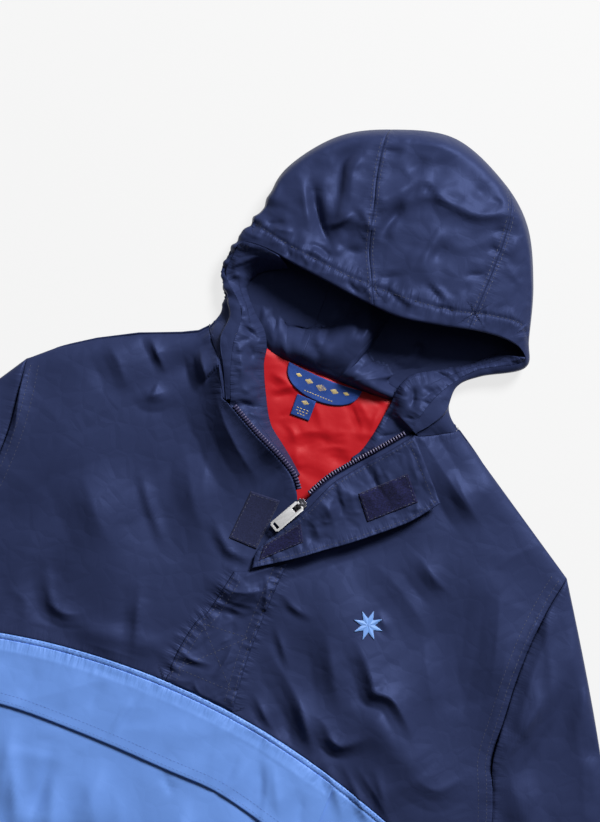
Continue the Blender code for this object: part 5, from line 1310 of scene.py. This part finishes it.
# Neck label: between a straight top edge with a slight hollow and a round lower edge; below it the size tab
def makeLabels():
    cut = labelCut
    middle, half = (cut["left"] + cut["right"]) / 2, (cut["right"] - cut["left"]) / 2
    t = np.sin(np.linspace(-1, 1, cut["columns"] + 1) * math.pi / 2) * 0.9996
    lower, upper = (metres(np.column_stack([middle + half * t, cut["top"] - drop * (1 - t * t) ** power]))
                    for drop, power in ((cut["depth"], cut["round"]), (cut["dip"], 1)))
    plan = lower + (upper - lower) * steps(cut["rows"])[:, None, None]
    above = (cut["above"] + cut["wall"]) * mm
    grid = np.dstack([plan, liningHeight(plan[..., 0], plan[..., 1]) + above])
    turnDown(grid, [lower, upper], 0.25, 0.9)
    addCloth("neckLabel", "neck_label", grid, cut["wall"], "labelWeave")
    plan = quadPlan(metres(cut["tab"]) + (0, cut["tabLift"] * mm), 24)
    height = liningHeight(plan[..., 0], plan[..., 1]) + above - cut["tabSink"] * mm
    addCloth("sizeTab", "size_tab", np.dstack([plan, height]), cut["wall"], "labelWeave")


flapCut = {         # mm
    "zipSide": [(76.6, 196.6), (57.5, 171.5), (40.0, 150.0), (29.4, 135.0), (18.2, 107.0), (8.0, 90.0),
                (-3.0, 71.0), (-6.0, 60.0)],
    "outerSide": [(116.0, 154.3), (104.5, 138.0), (92.5, 124.9), (62.0, 98.5), (43.0, 84.0), (30.3, 73.9),
                  (13.0, 61.5), (-3.9, 50.2)],
    "rise": 4.9, "lift": 5.2, "wall": 2.0, "rows": 170, "columns": 60, "placketRise": 1.4, "placketWall": 1.0,
    "creases": [
        (((31, 137), (38, 128), (50, 113)), 2.0, -1.2, 0.2),
        (((70, 186), (82, 172), (96, 156)), 4.0, -1.0, 0),
        (((40, 142), (50, 130), (58, 118)), 4.0, 1.2, 0), (((84, 186), (94, 172), (108, 156)), 3.5, 1.0, 0),
        (((22, 110), (34, 102), (40, 92)), 5.0, -0.9, 0), (((46, 152), (60, 140), (72, 124)), 4.0, -0.8, 0),
    ],
    "slopes": [
        (((31, 136.3), (40.2, 126.2), (51.3, 116)), 2.6, 2.4),
        (((41.5, 150.9), (58.8, 133.7), (79, 117.7)), 6, 2.2),
        (((18.7, 117.5), (32.7, 112.8), (44.6, 100.4)), 4, 2.6),
        (((64.8, 191.4), (82.4, 169.2), (97.3, 149.3)), 5, 2.4),
        (((17.3, 99.7), (28.6, 97.3), (39, 84.3)), 3, 2),
        (((53.3, 164.3), (68.7, 177.4), (76.4, 192.6)), 3, 1.6),
    ],
    "placketSlopes": [
        (((4, 49.4), (11.5, 35.2), (15.1, 17.7)), 3.2, 3.9),
        (((-28.7, 8.6), (-10.9, 11.5), (12.3, 9.6)), 2.2, 2.4),
        (((-22.5, 14.5), (-2.9, 17.3), (17.9, 21.4)), 2, 2.1),
        (((2.1, -10), (2.5, -23.7), (0.4, -35.7), (-4.1, -47.9)), 2.4, 3.3),
        (((-37.1, -34.5), (-21.7, -38.6), (-1.8, -36.6)), 2.4, 3.6),
        (((21.3, -21.2), (28.8, -22.5), (36.5, -20.3)), 2, 2.1),
        (((30, -34.1), (38.3, -33.3), (46, -31.1)), 2, 1.8),
        (((-15.5, -51.7), (-10.3, -58.2), (-2.4, -62.8)), 2.2, 2.4),
        (((-37.3, 17.2), (-27.8, 10.7), (-32.2, 0.2)), 2.4, 3.0),
        (((-38.2, -2.2), (-39, -12.9), (-32.4, -20.5)), 2.4, 3.0),
    ],
    "hookUpper": [(67.5, 118.3), (99.0, 148.2), (82.9, 166.4), (52.3, 136.7)],
    "hookLower": [(-1.2, 57.5), (26.2, 84.5), (18.6, 97.5), (-2.0, 70.0)],
    "loop": [(-30.2, 65.0), (-6.5, 64.8), (-3.4, 108.0), (-27.8, 106.5)],
    "patchRise": 1.2, "patchWall": 1.0, "liftReach": 8,
    "nap": [(0.25, 1.3, 141), (0.2, 2.9, 143)],     # height, size, seed
    "nets": [(26, 4.5, 1.9, -40, 1.6, 121), (12, 2.4, 0.6, 20, 1.4, 123)],
    "placketNets": [(15, 3.0, 0.9, 60, 1.6, 131)],
    "placketPuckers": [("left", 7, 2.0, 6.5, 45), ("right", 6, 1.3, 4.5, 47)],
}


# Height of the storm flap's outer face where it lies open over the front, lifted toward its free edge
def flapHeight(x, y):
    cut = flapCut
    body = creaseHeight(x, y, cut["creases"]) + slopeHeight(x, y, cut["slopes"])
    body += netHeight(x, y, cut["nets"])
    gap = nearestOn(evenCurve(cut["outerSide"], 40), x, y)[0]
    body += cut["lift"] * mm * np.exp(-gap / (cut["liftReach"] * mm))
    return frontHeight(x, y, False) + body + cut["rise"] * mm


# Storm flap, lying open: ruled from its zip side to its free side, all edges turned down
def makeFlap():
    cut = flapCut
    inner, outer = (curveShare(metres(cut[key]), crowd(cut["rows"], 0.3)) for key in ("zipSide", "outerSide"))
    plan = inner[:, None] + (outer - inner)[:, None] * crowd(cut["columns"])[None, :, None]
    grid = np.dstack([plan, flapHeight(plan[..., 0], plan[..., 1])])
    flip = gridNormal(grid)[..., 2].mean() < 0
    turnDown(grid, [inner, outer, grid[0][:, :2], grid[-1][:, :2]], 1.2, 2.2)
    addCloth("stormFlap", "storm_flap", grid, cut["wall"], "navyNylon", flip=flip,
             seams=[(inner, 0.6), (outer, 0.6)])


# Height of the closed lower stretch of the storm flap over the front
def placketHeight(x, y):
    body = slopeHeight(x, y, flapCut["placketSlopes"]) + netHeight(x, y, flapCut["placketNets"])
    for side, *sizes in flapCut["placketPuckers"]:
        body += puckerHeight(x, y, evenCurve(placketCut[side], 40), *sizes)
    return frontHeight(x, y) + flapCut["placketRise"] * mm + body


# Closed lower stretch of the storm flap: a patch from the colour seam up to its cut top
def makePlacket():
    left, right = (curveShare(metres(placketCut[side]), crowd(110)) for side in ("left", "right"))
    southX = np.linspace(left[0][0], right[0][0], 61)
    south = np.stack([southX, colourSeam(southX) + bodyCut["seamGap"] * mm], axis=1)
    left[0], right[0] = south[0], south[-1]
    top = evenCurve(placketCut["top"], 60)
    plan = patchOf(south, top, left, right)
    grid = np.dstack([plan, placketHeight(plan[..., 0], plan[..., 1])])
    turnDown(grid, [left, right, top, south], 1.0, 2.4)
    addCloth("placketCloth", "placket", grid, flapCut["placketWall"], "navyNylon",
             seams=[(left, 1.0), (right, 0.8)])


# Hook and loop patches: they follow the cloth below, their nap is the sum of two noises, and their edges
# turn down
def makePatches():
    for name, node, corners, heightOf, nap, tufted in (
        ("hookPatchUpper", "hook_patch_upper", "hookUpper", flapHeight, "hookNap", 1.0),
        ("hookPatchLower", "hook_patch_lower", "hookLower", flapHeight, "hookNap", 1.0),
        ("loopPatch", "loop_patch", "loop", frontHeight, "loopNap", 0.35),
    ):
        plan = quadPlan(metres(flapCut[corners]), 44)
        x, y = plan[..., 0], plan[..., 1]
        rough = sum(height * noiseAt(x / (size * mm), y / (size * mm), seed)
                    for height, size, seed in flapCut["nap"])
        grid = np.dstack([plan, heightOf(x, y) + (flapCut["patchRise"] + rough * tufted) * mm])
        turnDown(grid, [side.copy() for side in (plan[0], plan[-1], plan[:, 0], plan[:, -1])], 0.7, 1.6)
        addCloth(name, node, grid, flapCut["patchWall"], nap)


sleeveCut = {       # mm
    "slopes": [
        (((235, 129), (229.4, 104.4), (229, 62.8), (232.1, 20.9), (237.4, -11.5)), 7, 7),
        (((278, 65.3), (264.1, 44.2), (254.2, 9.1), (248.9, -20.6), (251.4, -52.4)), 9, -13),
        (((269.8, 98.3), (274.5, 48.4), (280.6, -0.9)), 9, 6),
        (((-232.4, 136.7), (-234.6, 118.6), (-230.9, 101.1), (-226.2, 78.8), (-227.6, 56.7)), 6, 9),
        (((-248.1, 120), (-245.6, 96.9), (-244, 63)), 7, 6),
    ],
    "cuffOuter": (517.0, -360.0), "cuffInner": (423.0, -414.0), "bow": 8.0, "bowEnd": 0.6, "bowHeading": 30,
    "loft": 7.5, "rows": 120, "columns": 62, "wall": 0.9,
    "folds": [
        (((262, 96), (246, -10)), 14, 4.5, 0), (((252, -20), (300, -110)), 13, 4.0, 0),
        (((300, -60), (372, -130)), 13, -2.5, 0), (((330, -150), (372, -215)), 13, 4.0, 0),
        (((395, -230), (448, -330)), 12, 3.5, 0),
    ],
    "creases": [
        (((275, 62), (257, 49), (250, 19), (244, -7), (240, -34)), 6.0, -2.4, 0.2),
        (((286, 50), (268, 30), (258, 0), (256, -30)), 7.0, 1.6, 0),
        (((250, -60), (270, -72), (296, -76)), 7.0, -2.2, 0),
        (((262, -84), (284, -96), (312, -100)), 8.0, 2.0, 0),
        (((300, 20), (316, -10), (326, -44)), 9.0, 1.6, 0),
        (((320, -40), (342, -66), (372, -84)), 8.0, -2.0, 0),
        (((322, -120), (350, -134), (380, -138)), 8.0, 2.0, 0),
        (((344, -170), (372, -180), (402, -180)), 8.0, -2.2, 0),
        (((380, -110), (402, -146), (416, -190)), 9.0, 1.6, 0),
        (((390, -250), (420, -262), (448, -262)), 8.0, 2.0, 0),
        (((400, -290), (430, -306), (462, -306)), 8.0, -2.0, 0),
        (((430, -200), (450, -240), (464, -280)), 9.0, 1.4, 0),
        (((430, -350), (456, -342), (486, -322)), 7.0, 1.6, 0),
    ],
    "crumple": (60, 1.6, -50, 1.8), "net": (42, 6.5, 1.8, -35, 1.6), "holePuckers": (8, 1.0, 7),    # no seed
    "holeGroove": (0.9, 1.4),
}


# Sleeve: a flattened tube from the armhole to the cuff; its upper layer holds loft, folds and creases
def makeSleeves():
    cut, edgeTop = sleeveCut, frontForm["edgeTop"] * mm
    shares = crowd(cut["columns"], 0.7)
    hole = curveShare(metres(bodyCut["armhole"]), shares) + (bodyCut["seamGap"] / 2 * mm, 0)
    low, high = metres(cut["cuffInner"]), metres(cut["cuffOuter"])
    cuff = low + (high - low) * shares[:, None]
    t = crowd(cut["rows"], 0.2)[:, None]
    bow = cut["bow"] * mm * np.sin(math.pi * np.clip(t / cut["bowEnd"], 0, 1)) * shares[None] ** 3
    heading = math.radians(cut["bowHeading"])
    plan = hole + (cuff - hole) * t[..., None] + bow[..., None] * (math.cos(heading), math.sin(heading))
    width = np.linalg.norm(plan[:, -1] - plan[:, 0], axis=1)[:, None]
    fromEdge = np.minimum(shares, 1 - shares) * width
    roll = np.sqrt(1 - (1 - np.clip(fromEdge / (frontForm["edgeRun"] * mm), 0, 1)) ** 2)
    x, y = plan[..., 0], plan[..., 1]
    holeLine = evenCurve(bodyCut["armhole"], 80)
    depth, halfWidth = cut["holeGroove"]
    groove = depth * mm * np.exp(-(nearestOn(holeLine, x, y)[0] / (halfWidth * mm)) ** 2)
    # the left sleeve has the right one's creases, moved by a little and resized
    shifted = [(tuple((a + 4, b - 7) for a, b in path), w * 1.1, h * 0.9, -lean)
               for path, w, h, lean in cut["creases"]]
    for name, node, sign in (("sleeveLeft", "sleeve_left", -1), ("sleeveRight", "sleeve_right", 1)):
        loft = cut["loft"] * mm + creaseHeight(x, y, cut["folds"], tail=0.35, endShare=0.18)
        if sign > 0:
            loft += creaseHeight(x, y, cut["creases"]) + slopeHeight(x, y, cut["slopes"])
        else:
            loft += creaseHeight(x, y, shifted)
        loft += crumpleHeight(x, y, *cut["crumple"], 151 + sign) + creaseNet(x, y, *cut["net"], 155 + sign)
        loft = np.maximum(loft, frontForm["floorClear"] * mm)
        gathers = puckerHeight(x, y, holeLine, *cut["holePuckers"], 161 + sign)
        top = edgeTop + (loft - edgeTop + gathers - groove) * roll
        top[:, (0, -1)] = 0.5 * edgeTop
        lower = np.dstack([plan[:, 1:-1], np.zeros(x[:, 1:-1].shape)])
        ring = np.concatenate([np.dstack([plan, top]), lower[:, ::-1]], axis=1) * (sign, 1, 1)
        flip = gridNormal(ring[:, 2:cut["columns"] - 2])[..., 2].mean() < 0
        addCloth(name, node, ring, cut["wall"], "navyNylon", flip=flip, wrap=True,
                 seams=[(holeLine * (sign, 1), 0.5)])


backForm = {"wall": 1.0, "neckGap": 1.6, "rows": 30, "columns": 60}       # gap and wall in mm


# Back pieces: they lie flat on the ground
def makeBacks():
    cut, gap = backForm, bodyCut["seamGap"] * mm
    down = steps(cut["rows"])
    hole = evenCurve(bodyCut["armhole"], 80) - (gap / 2, 0)
    foot = (hole[0][0], colourSeam(hole[0][0]) + gap)
    east = lineShare(np.vstack([[foot], hole]), down)
    west = east * (-1, 1)
    west[0, 1] = colourSeam(west[0, 0]) + gap
    neck = neckSeam(np.linspace(hoodCut["neckLeft"], hoodCut["neckRight"], 120), -cut["neckGap"] * mm)
    north = lineShare(np.vstack([[west[-1]], neck, [east[-1]]]), steps(cut["columns"]))
    southX = np.linspace(west[0][0], east[0][0], cut["columns"] + 1)
    south = np.stack([southX, colourSeam(southX) + gap], axis=1)
    half = bodyCut["underarm"][0] * mm
    topX = np.linspace(-half, half, cut["columns"] + 1)
    hem = np.stack([topX / half * bodyCut["hemHalf"] * mm, np.full(topX.shape, bodyCut["hemY"] * mm)], axis=1)
    head = np.stack([topX, colourSeam(topX)], axis=1)
    sides = [hem[k] + (head[k] - hem[k]) * down[:, None] for k in (0, -1)]
    for name, node, plan, finish in (
        ("backYoke", "back_yoke", patchOf(south, north, west, east), "navyNylon"),
        ("backLower", "back_lower", patchOf(hem, head, *sides), "blueNylon"),
    ):
        grid = np.dstack([plan, np.full(plan.shape[:2], cut["wall"] * mm)])
        addCloth(name, node, grid, cut["wall"], finish)


zipCut = {          # mm
    "start": 0.03, "stretch": 0.94, "tapeShows": 4.2, "tapeHidden": 7.0, "pitch": 2.3, "toothLong": 3.6,
    "toothWide": 1.4, "toothHigh": 1.9, "toothInset": 1.3, "toothRise": 1.5, "tapeWall": 0.8,
    "tapeBelow": (0.3, 0.9),        # below the cloth's inner face: at its edge, and under it
    "rows": 14, "hiddenShare": 0.66, "columns": 90,
}


# Small repeated shape joined into one mesh: the template's points set out along each item's own axes
def arrayMesh(name, template, faces, places, along, across, normal):
    points = places[:, None] + sum(template[None, :, k:k + 1] * axis[:, None]
                                   for k, axis in enumerate((along, across, normal)))
    count, size = len(places), len(template)
    every = [[index + size * number for index in face] for number in range(count) for face in faces]
    mesh = bpy.data.meshes.new(name)
    mesh.from_pydata(points.reshape(-1, 3), [], every)
    mesh.shade_smooth()
    mesh.update()
    return mesh


# Rounded box template: a cuboid whose top is drawn in, as unit sizes scaled by the item's axes
def toothTemplate():
    ring = [(-0.5, -0.35), (-0.35, -0.5), (0.35, -0.5), (0.5, -0.35), (0.5, 0.35), (0.35, 0.5), (-0.35, 0.5),
            (-0.5, 0.35)]
    levels = [(-0.5, 0.92), (-0.2, 1.0), (0.25, 1.0), (0.5, 0.7)]
    points = [(x * size, y * size, z) for z, size in levels for x, y in ring]
    faces = [tuple(range(8))[::-1], tuple(range(24, 32))]
    faces += [(8 * k + a, 8 * k + (a + 1) % 8, 8 * k + 8 + (a + 1) % 8, 8 * k + 8 + a)
              for k in range(3) for a in range(8)]
    return np.array(points), faces


# Tape of each side of the open zip, and its row of teeth along the edge
def makeZip():
    cut = zipCut
    template, faces = toothTemplate()
    span = cut["start"] + steps(cut["columns"]) * cut["stretch"]
    for side, node, sign in (("Left", "zip_tape_left", 1), ("Right", "zip_tape_right", -1)):
        line = curveShare(metres(bodyCut["zip" + side]), span)
        away = leftOf(line) * -sign                             # toward the opening
        run = np.column_stack([away[:, 1], -away[:, 0]]) * -sign
        shares = steps(cut["rows"])[:, None]
        shift = cut["tapeShows"] * shares - cut["tapeHidden"] * (1 - shares)
        plan = line[:, None] + away[:, None] * shift * mm
        atEdge, under = (bodyCut["wall"] + np.array(cut["tapeBelow"])) * mm
        level = frontHeight(line[:, 0], line[:, 1])[:, None] - atEdge
        below = frontHeight(plan[..., 0], plan[..., 1]) - under
        grid = np.dstack([plan, np.minimum(level, np.where(shares[:, 0] < cut["hiddenShare"], below, level))])
        flip = gridNormal(grid)[..., 2].mean() < 0
        addCloth("zipTape" + side, node, grid, cut["tapeWall"], "zipTape", flip=flip)

        length = np.linalg.norm(np.diff(line, axis=0), axis=1).sum()
        count = int(length / (cut["pitch"] * mm))
        item = (np.arange(count) + 0.5) / count * (len(line) - 1)
        spots = curveAt(np.column_stack([line, level[:, 0], run, away]), item)
        flat, up = np.zeros(count), np.tile((0.0, 0.0, 1.0), (count, 1))
        along, across = np.column_stack([spots[:, 3:5], flat]), np.column_stack([spots[:, 5:7], flat])
        place = spots[:, :3] + across * (cut["tapeShows"] - cut["toothInset"]) * mm
        place += up * cut["toothRise"] * mm
        mesh = arrayMesh("zipTeeth" + side, template, faces if sign < 0 else [face[::-1] for face in faces],
                         place, along * cut["toothWide"] * mm, across * cut["toothLong"] * mm,
                         up * cut["toothHigh"] * mm)
        addPiece("zipTeeth" + side, mesh, materials["toothPlastic"])


# Metal part from its solid: corner points merged, flat faces joined and every edge rounded
def metalCopy(node, name, rounding, metal, body):
    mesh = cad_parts[node].data.copy()
    mesh.name = name
    work = bmesh.new()
    work.from_mesh(mesh)
    bmesh.ops.remove_doubles(work, verts=work.verts[:], dist=1e-6)
    bmesh.ops.dissolve_limit(work, angle_limit=math.radians(1), verts=work.verts[:], edges=work.edges[:])
    bmesh.ops.recalc_face_normals(work, faces=work.faces[:])
    work.to_mesh(mesh)
    work.free()
    mesh.materials.clear()
    mesh.shade_smooth()
    piece = addPiece(name, mesh, materials[metal], body)
    edge = piece.modifiers.new("edges", "BEVEL")
    edge.width = rounding * mm
    edge.segments = 2
    edge.limit_method = "ANGLE"
    edge.angle_limit = math.radians(30)
    edge.harden_normals = True
    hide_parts(node)


starCut = {         # mm
    "centre": (99.2, 42.2), "outer": 12.5, "inner": 5.6, "rise": 1.5, "wall": 1.0, "rays": 8, "fine": 24,
    "rings": [0.0, 0.25, 0.5, 0.72, 0.88, 0.96, 1.0],       # shares of each ray
}


# Chest motif: each ray a padded satin stitch, highest along its middle; its middle point is merged
def makeMotif():
    cut, halves = starCut, 2 * starCut["rays"]
    turn = np.linspace(0, math.tau, cut["rays"] * cut["fine"] + 1)[:-1]
    share = (turn / math.tau * halves) % 2
    ray = np.where(share < 1, 1 - share, share - 1)
    straight = 1 / (ray / (cut["outer"] * mm) + (1 - ray) / (cut["inner"] * mm))
    radial = np.array(cut["rings"])[:, None]
    reach = radial * straight
    plan = metres(cut["centre"]) + np.dstack([reach * np.sin(turn), reach * np.cos(turn)])
    rise = cut["rise"] * mm * (0.55 + 0.45 * np.sqrt(1 - radial**2)) * (0.8 + 0.2 * ray)
    grid = np.dstack([plan, frontHeight(plan[..., 0], plan[..., 1]) + rise])
    piece = addCloth("chestStar", "chest_motif", grid, cut["wall"], "motifThread", wrap=True)
    work = bmesh.new()
    work.from_mesh(piece.data)
    bmesh.ops.remove_doubles(work, verts=work.verts[:], dist=1e-6)
    bmesh.ops.recalc_face_normals(work, faces=work.faces[:])
    work.to_mesh(piece.data)
    work.free()


makeYokes()
makeLowerFront()
makePocketFlap()
print("front panels are cut")
hoodSeams = makeHood()
makeFacings()
makeLining()
makeLabels()
print("hood, facings and lining are in")
makeFlap()
makePlacket()
makePatches()
makeSleeves()
makeBacks()
print("flap, placket, patches, sleeves and back are in")
makeZip()
metalCopy("zip_slider", "zipSlider", 0.3, "darkMetal", "garment")
metalCopy("zip_pull", "zipPull", 0.3, "polishedMetal", "pull")
makeMotif()
print("zip and motif are in")


# Capsule template for one stitch: five-sided, drawn in to a point at both ends, unit length along x
def stitchTemplate():
    turn = np.arange(5) / 5 * math.tau
    ring = [(0.5 * math.cos(angle), 0.5 * math.sin(angle)) for angle in turn]
    points = [(-0.5, 0, -0.3)]
    for x, size, lift in ((-0.34, 0.85, -0.05), (0, 1, 0.05), (0.34, 0.85, -0.05)):
        points += [(x, y * size, z * size + lift) for y, z in ring]
    points.append((0.5, 0, -0.3))
    faces = [(0, 1 + (a + 1) % 5, 1 + a) for a in range(5)]
    faces += [(16, 11 + a, 11 + (a + 1) % 5) for a in range(5)]
    faces += [(1 + 5 * k + a, 1 + 5 * k + (a + 1) % 5, 6 + 5 * k + (a + 1) % 5, 6 + 5 * k + a)
              for k in range(2) for a in range(5)]
    return np.array(points), faces


sewing = {"length": 2.5, "pitch": 3.3, "width": 0.6, "height": 0.5, "sink": 0.05, "cornerInset": 2.38}   # mm


# Stitches seated on a piece along plan lines: both ends of each are dropped onto its outer face
def seatStitches(piece, lines, pitch=None):
    mesh = piece.data
    tree = BVHTree.FromPolygons([vertex.co for vertex in mesh.vertices],
                                [tuple(face.vertices) for face in mesh.polygons])
    starts, ends, normals = [], [], []
    pitch = pitch or sewing["pitch"]
    for line in lines:
        line = bowShoulder(line.copy())
        length = np.linalg.norm(np.diff(line, axis=0), axis=1).sum()
        count = max(int(length / (pitch * mm)), 1)
        first = (np.arange(count) + 0.5 - 0.5 * sewing["length"] / sewing["pitch"]) / count
        tips = lineShare(line, first), lineShare(line, first + sewing["length"] / sewing["pitch"] / count)
        for a, b in zip(*tips):
            hits = [tree.ray_cast(Vector((*tip, 0.2)), Vector((0, 0, -1))) for tip in (a, b)]
            if all(hit[0] is not None for hit in hits) and abs(hits[0][0].z - hits[1][0].z) < 2 * mm:
                starts.append(hits[0][0])
                ends.append(hits[1][0])
                up = (hits[0][1] + hits[1][1]).normalized()
                normals.append(up if up.z > 0 else -up)
    return np.array(starts), np.array(ends), np.array(normals)


# One joined mesh of stitches for each thread
def makeStitches(name, thread, rows, pitch=None, width=None):
    found = [seatStitches(pieces[piece], lines, pitch) for piece, lines in rows]
    starts, ends, normal = (np.concatenate([part[k] for part in found if len(part[0])]) for k in range(3))
    along = ends - starts
    across = np.cross(normal, along)
    across *= (width or sewing["width"]) * mm / np.linalg.norm(across, axis=1)[:, None]
    places = (starts + ends) / 2 - normal * sewing["sink"] * mm
    template, faces = stitchTemplate()
    mesh = arrayMesh(name, template, faces, places, along, across, normal * sewing["height"] * mm)
    addPiece(name, mesh, materials[thread])
    print(name, "has", len(places), "stitches")


# Stitch lines inside a patch: its corners drawn toward its middle
def insideBorder(key):
    corner = metres(flapCut[key])
    centre = corner.mean(axis=0)
    reach = np.linalg.norm(corner - centre, axis=1)[:, None]
    ring = centre + (corner - centre) * (1 - sewing["cornerInset"] * mm / reach)
    return [np.vstack([ring[k], ring[(k + 1) % len(ring)]]) for k in range(len(ring))]


# Satin lozenge: upright stitches whose half length falls evenly from the middle to the two side tips
def satinLozenge(x, y, half, tall):
    return [metres([(x + k * half, y + end * tall * (1.15 - abs(k))) for end in (-1, 1)])
            for k in np.linspace(-0.85, 0.85, 8)]


goldWork = {        # mm; (x, y, half width, half height), dash rows and border
    "lozenges": [(-27.0, 207.0, 2.6, 2.4), (-17.5, 205.2, 3.4, 3.4), (-6.6, 204.0, 4.4, 4.6),
                 (4.3, 205.2, 3.4, 3.4), (13.8, 207.0, 2.6, 2.4)],
    "dashes": [((-19, 197.2), (6, 197.2))], "dashPitch": 2.2, "width": 0.85,
    "tabLozenges": [(-14.0, 188.2, 3.2, 3.0)],
    "tabDashes": [((-19.5, 182.6), (-8.6, 182.8)), ((-19.5, 180.4), (-8.6, 180.6)),
                  ((-17.5, 178.2), (-10.5, 178.4))],
}


# Gold ornament on the neck label and its tab: lozenges and rows of dashes
def makeGoldWork():
    work = goldWork
    label = [line for spot in work["lozenges"] for line in satinLozenge(*spot)]
    tab = [line for spot in work["tabLozenges"] for line in satinLozenge(*spot)]
    makeStitches("goldLozenges", "goldThread", [("neckLabel", label), ("sizeTab", tab)], 40,
                 work["width"])
    makeStitches("goldDashes", "goldThread", [
        ("neckLabel", [metres(row) for row in work["dashes"]]),
        ("sizeTab", [metres(row) for row in work["tabDashes"]])], work["dashPitch"], work["width"])


# Rows of stitches along seams, hems, the placket's crossed box, the flap's edges and round the patches
def makeSewing():
    hole, placketLeft, placketRight, zipSide, outerSide, casing, zipLeft = (
        curveShare(metres(points), np.linspace(start, stop, count)) for points, start, stop, count in (
            (bodyCut["armhole"], 0.02, 0.98, 120), (placketCut["left"], 0.03, 0.97, 60),
            (placketCut["right"], 0.03, 0.97, 60), (flapCut["zipSide"], 0.02, 0.98, 80),
            (flapCut["outerSide"], 0.01, 0.99, 80), (hoodForm["casing"], 0.02, 0.98, 160),
            (bodyCut["zipLeft"], 0.06, 0.9, 50)))
    (a, b), (c, d) = (lineShare(placketLeft, [0.1, 0.52]) + (0.0055, 0),
                      lineShare(placketRight, [0.08, 0.46]) - (0.0055, 0))
    box = [np.vstack(pair) for pair in ((a, c), (b, d), (a, d), (b, c))]
    ends = [np.vstack([zipSide[0], outerSide[0]]) + (-0.001, -0.003)]
    hood = [casing] + [besideLine(lineShare(line, np.linspace(0.06, 0.97, 50)), gap)
                       for line in hoodSeams for gap in (-2.6, 2.6)]
    pocketHem = evenCurve(lowerCut["bottom"], 120)
    hems = [metres([(-246, bodyCut["hemY"] + rise), (246, bodyCut["hemY"] + rise)]) for rise in (18, 24)]
    makeStitches("navyStitches", "navyThread", [
        ("yokeLeft", [besideLine(hole, gap) * (-1, 1) for gap in (5, 11.5)]
         + [besideLine(zipLeft, -gap) for gap in (3, 8)]),
        ("yokeRight", [besideLine(hole, gap) for gap in (5, 11.5)]),
        ("placketCloth", [besideLine(placketLeft, -gap) for gap in (2.6, 8.2)]
         + [besideLine(placketRight, gap) for gap in (2.6, 8.2)] + box),
        ("stormFlap", [besideLine(zipSide, 3), besideLine(outerSide, -3)] + ends),
        ("hoodLeft", hood), ("hoodCrown", hood), ("hoodRight", hood),
        ("hookPatchUpper", insideBorder("hookUpper")), ("hookPatchLower", insideBorder("hookLower")),
        ("loopPatch", insideBorder("loop")),
    ])
    makeStitches("blueStitches", "blueThread", [
        ("lowerFront", [belowSeam(drop, 250) for drop in (1.2, 3.9)] + hems),
        ("pocketFlap", [besideLine(pocketHem, gap) for gap in (3.2, 9.0)]),
    ])


makeSewing()
makeGoldWork()
print("sewing is in")
